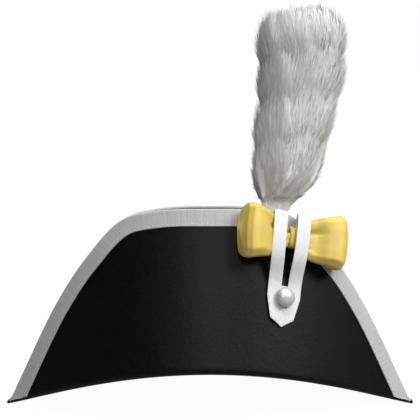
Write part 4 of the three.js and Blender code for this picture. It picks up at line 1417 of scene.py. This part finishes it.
class Recipe:
    """A Geometry Nodes tree that is built node by node."""

    def __init__(self, name, sizes):
        self.tree = bpy.data.node_groups.new(name, "GeometryNodeTree")
        sockets = self.tree.interface
        sockets.new_socket("Geometry", in_out="INPUT", socket_type="NodeSocketGeometry")
        for label, kind in sizes.items():
            sockets.new_socket(label, in_out="INPUT", socket_type=f"NodeSocket{kind}")
        sockets.new_socket("Geometry", in_out="OUTPUT", socket_type="NodeSocketGeometry")
        self.given = self.tree.nodes.new("NodeGroupInput")
        self.result = self.tree.nodes.new("NodeGroupOutput")

    node = Finish.node
    feed = Finish.feed

    def size(self, label):
        """One of the tree's named inputs."""
        return Wire(self, self.given.outputs[label])

    def vector(self, x, y, z):
        return self.node("ShaderNodeCombineXYZ", {}, {0: x, 1: y, 2: z})

    def named(self, label, kind):
        """An attribute of the piece that the tree grows on."""
        return self.node("GeometryNodeInputNamedAttribute", {"data_type": kind}, {"Name": label})

    def chance(self, low, high, seed):
        """A random number for each copy."""
        settings = {"data_type": "FLOAT"}
        return self.node("FunctionNodeRandomValue", settings, {2: low, 3: high, 8: seed}, 1)

    def facing(self, direction, outward):
        """A turn that lays a copy's y along a direction and its z out of the surface."""
        axes = {"primary_axis": "Y", "secondary_axis": "Z"}
        return self.node("FunctionNodeAxesToRotation", axes, {0: direction, 1: outward})

    def finish(self, geometry, label="Finish"):
        real = self.node("GeometryNodeRealizeInstances", {}, {0: geometry})
        smooth = self.node("GeometryNodeSetShadeSmooth", {}, {0: real})
        coated = self.node("GeometryNodeSetMaterial", {}, {0: smooth, "Material": self.size(label)})
        self.feed(self.result.inputs[0], coated)


def grown(piece, recipe, **values):
    """Run a recipe on a piece and keep the plain mesh that it makes."""
    modifier = piece.modifiers.new(recipe.tree.name, "NODES")
    modifier.node_group = recipe.tree
    for socket in recipe.tree.interface.items_tree:
        if socket.in_out == "INPUT" and socket.name in values:
            modifier[socket.identifier] = values[socket.name]
    return finish_modifiers(piece)


print("ready to write recipes")

# %% [markdown]
# A feather's barbs are thousands of fine soft blades. Points are scattered on the skin, and each carries one
# blade of five faces, broad at its root and narrow at its tip, which follows the feathers' flow, lifts off a
# little and curls. Chance changes each blade's lift, turn, length and width, always from the same seeds.

# %% The recipe for barbs
barbs = Recipe(
    "barbs",
    {"Density": "Float", "Length": "Float", "Width": "Float", "Seed": "Int", "Finish": "Material"},
)
scatter = {"Mesh": barbs.size("Geometry"), "Density": barbs.size("Density"), "Seed": barbs.size("Seed")}
points = barbs.node("GeometryNodeDistributePointsOnFaces", {}, scatter)
normal = Wire(barbs, points.socket.node.outputs["Normal"])
lying = barbs.facing(barbs.named("flow", "FLOAT_VECTOR"), normal)
lift, roll = barbs.chance(0.01, 0.13, 11), barbs.chance(-0.25, 0.25, 12)
aside = barbs.chance(-0.12, 0.12, 13)
lift = barbs.node("FunctionNodeEulerToRotation", {}, {0: barbs.vector(lift, roll, aside)})
turn = barbs.node("FunctionNodeRotateRotation", {"rotation_space": "LOCAL"}, {0: lying, 1: lift})
blade = barbs.node("GeometryNodeMeshGrid", {}, {0: 1.0, 1: 1.0, 2: 2, 3: 6})
position = barbs.node("GeometryNodeInputPosition")
x, y = (barbs.node("ShaderNodeSeparateXYZ", {}, {0: position}, axis) for axis in (0, 1))
share = y + 0.5
taper = (1.0 - share * share) * 0.9 + 0.1
curl = share * share * 0.06
width, length = barbs.size("Width"), barbs.size("Length")
shaped = barbs.vector(x * taper * width, share * length, curl * length)
blade = barbs.node("GeometryNodeSetPosition", {}, {"Geometry": blade, "Position": shaped})
long = barbs.chance(0.6, 1.15, 15) * barbs.named("reach", "FLOAT")
scale = barbs.vector(barbs.chance(0.7, 1.3, 14), long, barbs.chance(-0.4, 1.3, 16))
inputs = {"Points": points, "Instance": blade, "Rotation": turn, "Scale": scale}
instances = barbs.node("GeometryNodeInstanceOnPoints", {}, inputs)
settings = {"data_type": "FLOAT", "domain": "INSTANCE"}
inputs = {0: instances, "Name": "tone", "Value": barbs.chance(0.0, 1.0, 17)}
instances = barbs.node("GeometryNodeStoreNamedAttribute", settings, inputs)
barbs.finish(instances)
print("the recipe has", len(barbs.tree.nodes), "nodes")

# %% [markdown]
# Feather is matt and soft. Each barb has its own tone, and a slow noise makes whole tufts a little lighter
# or darker. The skin under the barbs has the same finish, so that no other colour shows between them.

# %% Plume and barbs
BARB_DENSITY = 230000.0
BARB_LENGTH = 0.02
BARB_WIDTH = 0.0012
BARB_SEED = 5

feather = Finish("feather")
tone = feather.node("ShaderNodeAttribute", {"attribute_name": "tone"}, {}, "Fac")
soft = feather.noise(feather.place(), 45, 3.0, 0.5)
feather.set(
    base_color=feather.mixed(tone * 0.6 + soft * 0.4, (182, 182, 180), (200, 200, 198)),
    roughness=0.7,
    specular_ior_level=0.25,
    sheen_weight=0.1,
    sheen_roughness=0.5,
)

skin_copy = skin.copy()
skin_copy.data = skin.data.copy()
skin_copy.name = "plume_barbs"
bpy.context.collection.objects.link(skin_copy)
sizes = {"Density": BARB_DENSITY, "Length": BARB_LENGTH, "Width": BARB_WIDTH, "Seed": BARB_SEED}
grown(skin_copy, barbs, Finish=feather.material, **sizes)
dress(skin, feather, "plume")
dress(skin_copy, feather, None)

# %% [markdown]
# The plume's stem is drawn steel wire, scratched along its length, with its ends rounded off so that they
# don't tear the leather.

# %% Stem
STEM_DIAMETER = 4
STEM_LENGTH = 110
STEM_IN_PLUME = 55
STEM_SIDES = 32
STEM_ROUND = 0.4

stem = Finish("stem_wire")
scratches = stem.noise(stem.scaled(stem.place(), (1, 1, 0.1)), 900, 3.0, 0.6)
stem.set(base_color=colour((150, 150, 152)), metallic=1.0, roughness=0.3 + scratches * 0.25)
stem_radius = STEM_DIAMETER / 2
stem_bottom, stem_top = STEM_IN_PLUME - STEM_LENGTH, STEM_IN_PLUME
stem_profile = [
    (AXIS, stem_bottom),
    (stem_radius - STEM_ROUND, stem_bottom),
    (stem_radius, stem_bottom + STEM_ROUND),
    (stem_radius, stem_top - STEM_ROUND),
    (stem_radius - STEM_ROUND, stem_top),
    (AXIS, stem_top),
]
stem_piece = lofted("stem", placed(turned(stem_profile, STEM_SIDES), PLUME_HOME))
dress(stem_piece, stem, "plume_stem")

# %% [markdown]
# The stem stands in a leather sleeve that is sewn inside the front flap. Seen from above, the sleeve is an
# arch over the stem with a wing at each side, where it is sewn down. It is open at the top and closed below.
# Leather is a pebbled skin with creases in it: cells for the pebbles and a noise for the creases.

# %% Sleeve
SOCKET_WALL = 1.6
SOCKET_SEAM = 4
SOCKET_LENGTH = 54
SOCKET_BELOW = 3
SLEEVE_POINTS = 121
SLEEVE_EDGE = 0.5

leather = Finish("sleeve_leather")
grain = leather.node("ShaderNodeTexVoronoi", {}, {"Vector": leather.place(), "Scale": 900})
creases = leather.noise(leather.place(), 160, 4.0, 0.6)
leather.set(
    base_color=leather.mixed(creases.smooth(0.3, 0.7), (44, 32, 24), (78, 58, 44)),
    roughness=0.5 + creases * 0.2,
)
leather.bump(grain * 0.7 + creases * 0.3, 0.0004, 0.8)

sleeve_bore = STEM_DIAMETER / 2 + CLEARANCE
sleeve_half = sleeve_bore + SOCKET_WALL
sleeve_wing = sleeve_half + SOCKET_SEAM
sleeve_back = -(STEM_STAND - FELTED) + CLEARANCE
pad_front = sleeve_back + SOCKET_WALL


def sleeve_rings():
    """Rings up the outside and down the bore. Each outer point has an angle, which its inner one keeps."""
    arc = np.linspace(0, math.pi, 24)
    points = [(sleeve_half * math.cos(a), sleeve_half * math.sin(a), math.degrees(a)) for a in arc]
    points += [
        (-sleeve_half, pad_front, 220),
        (-sleeve_wing, pad_front, 228),
        (-sleeve_wing, sleeve_back, 236),
        (sleeve_wing, sleeve_back, 304),
        (sleeve_wing, pad_front, 312),
        (sleeve_half, pad_front, 320),
        (sleeve_half, 0, 360),
    ]
    outside = resampled(np.array(points), SLEEVE_POINTS)[:-1]
    outer, angle = outside[:, :2], np.radians(outside[:, 2])
    inner = sleeve_bore * np.column_stack([np.cos(angle), np.sin(angle)])
    middle = outer.mean(axis=0)
    rows = []
    low, high = -SOCKET_LENGTH - SOCKET_BELOW, -SOCKET_BELOW
    edge, soft = SLEEVE_EDGE, 0.3 * SLEEVE_EDGE
    reach = np.linalg.norm(outer - middle, axis=1, keepdims=True)
    levels = [(edge, low), (soft, low + soft), (0, low + edge), (0, high - edge), (soft, high - soft)]
    for inset, height in levels:
        ring = middle + (outer - middle) * (1 - inset / reach)
        rows.append(np.column_stack([ring, np.full(len(ring), height)]))
    for height in (high, low + SOCKET_WALL):
        rows.append(np.column_stack([inner, np.full(len(inner), height)]))
    return np.array(rows)


sleeve_piece = lofted("leather_sleeve", placed(sleeve_rings(), PLUME_HOME))
dress(sleeve_piece, leather, "plume_socket")

# %% [markdown]
# Thread holds the galloon down along its borders and the sleeve along its wings. A stitch is a short
# rounded bar that dips at both ends. Geometry Nodes sets one every few millimetres along the seam lines,
# turned along the seam and lying on the cloth.

# %% The recipe for stitches
stitching = Recipe(
    "stitches",
    {"Pitch": "Float", "Length": "Float", "Thread": "Float", "Finish": "Material"},
)
seams = stitching.node("GeometryNodeMeshToCurve", {}, {0: stitching.size("Geometry")})
spaced = {"Curve": seams, "Length": stitching.size("Pitch")}
seams = stitching.node("GeometryNodeResampleCurve", {"mode": "LENGTH"}, spaced)
tangent = stitching.node("GeometryNodeInputTangent")
turn = stitching.facing(tangent, stitching.named("outward", "FLOAT_VECTOR"))
bar = stitching.node("GeometryNodeMeshUVSphere", {}, {0: 6, 1: 5, 2: 0.5})
thick = stitching.size("Thread")
scale = stitching.vector(thick, stitching.size("Length"), thick)
inputs = {"Points": seams, "Instance": bar, "Rotation": turn, "Scale": scale}
stitching.finish(stitching.node("GeometryNodeInstanceOnPoints", {}, inputs))
print("the recipe has", len(stitching.tree.nodes), "nodes")

# %% [markdown]
# The seam lines come from the same functions as the pieces that they hold, so the thread lies on the braid
# and on the leather. Each point of a line also keeps the way out of the cloth.

# %% Stitches
SEAM_POINTS = 400
SEAM_START = GALLOON_START + 8
SEAM_HEIGHT = 4
OUTER_SEAM, INNER_SEAM = 15.6, 9.9
WING_POINTS = 40
WING_ENDS = 2


def stitched(name, lines, finish, pitch, length, thread):
    """A row of stitches along each line of points, given with the way out of the cloth there."""
    points = np.vstack([line for line, _ in lines])
    piece = new_piece(name, points, [])
    edges, start = [], 0
    for line, _ in lines:
        edges += [(start + k, start + k + 1) for k in range(len(line) - 1)]
        start += len(line)
    piece.data.edges.add(len(edges))
    piece.data.edges.foreach_set("vertices", np.array(edges, dtype=np.int32).ravel())
    outward = np.vstack([out for _, out in lines])
    attribute = piece.data.attributes.new("outward", "FLOAT_VECTOR", "POINT")
    attribute.data.foreach_set("vector", outward.astype(np.float32).ravel())
    grown(piece, stitching, Finish=finish.material, Pitch=pitch * MM, Length=length * MM, Thread=thread * MM)
    dress(piece, finish, None)


def braid_seam(flap, within, off):
    """A seam along a flap's braid that stays clear of the table."""
    distances = np.linspace(SEAM_START, outline_length - SEAM_START, SEAM_POINTS)
    shape = np.ones((SEAM_POINTS, 1))
    points, normals = galloon_grid(flap, distances, shape * within, shape * off)
    points, normals = at_rest(points[:, 0]), leant(normals[:, 0]) * math.copysign(1, off)
    clear = points[:, 2] > SEAM_HEIGHT * MM
    return points[clear], normals[clear]


def wing_seam(side):
    """A seam down one wing of the sleeve."""
    low, high = -SOCKET_LENGTH - SOCKET_BELOW, -SOCKET_BELOW
    heights = np.linspace(low + WING_ENDS, high - WING_ENDS, WING_POINTS)
    across = np.full(WING_POINTS, side * (sleeve_half + sleeve_wing) / 2)
    line = np.column_stack([across, np.full(WING_POINTS, pad_front + 0.05), heights])
    out = np.broadcast_to(leant(np.array(PLUME_HOME[0])[1]), (WING_POINTS, 3))
    return at_rest(placed(line, PLUME_HOME)), out


thread = Finish("thread")
twist = thread.noise(thread.place(), 2500, 2.0, 0.6)
thread.set(base_color=thread.mixed(twist.smooth(0.3, 0.7), (168, 166, 166), (206, 205, 204)), roughness=0.6)
braid_seams = []
for flap in (FRONT, BACK):
    braid_seams += [braid_seam(flap, OUTER_SEAM, FACED), braid_seam(flap, INNER_SEAM, -FACED)]
wing_seams = [wing_seam(-1), wing_seam(1)]
stitched("braid_stitches", braid_seams, thread, pitch=5.5, length=3.2, thread=0.5)
stitched("sleeve_stitches", wing_seams, thread, pitch=4, length=2.6, thread=0.6)

# %% [markdown]
# The render model's box is set beside the solids' box, and the last line prints how far the plume's barbs
# stand above the solids. The render model may stand only a little proud of the solids.

# %% The sizes of the solids and of the render model
size_rows = {"cad": [list(map(float, corner)) for corner in cad_box]}
size_rows["visual"] = [list(map(float, corner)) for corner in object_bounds()]
grown_by = (np.array(size_rows["visual"]) - size_rows["cad"]) / MM
print("the plume's barbs stand", round(float(grown_by[1, 2]), 1), "mm above the solids")
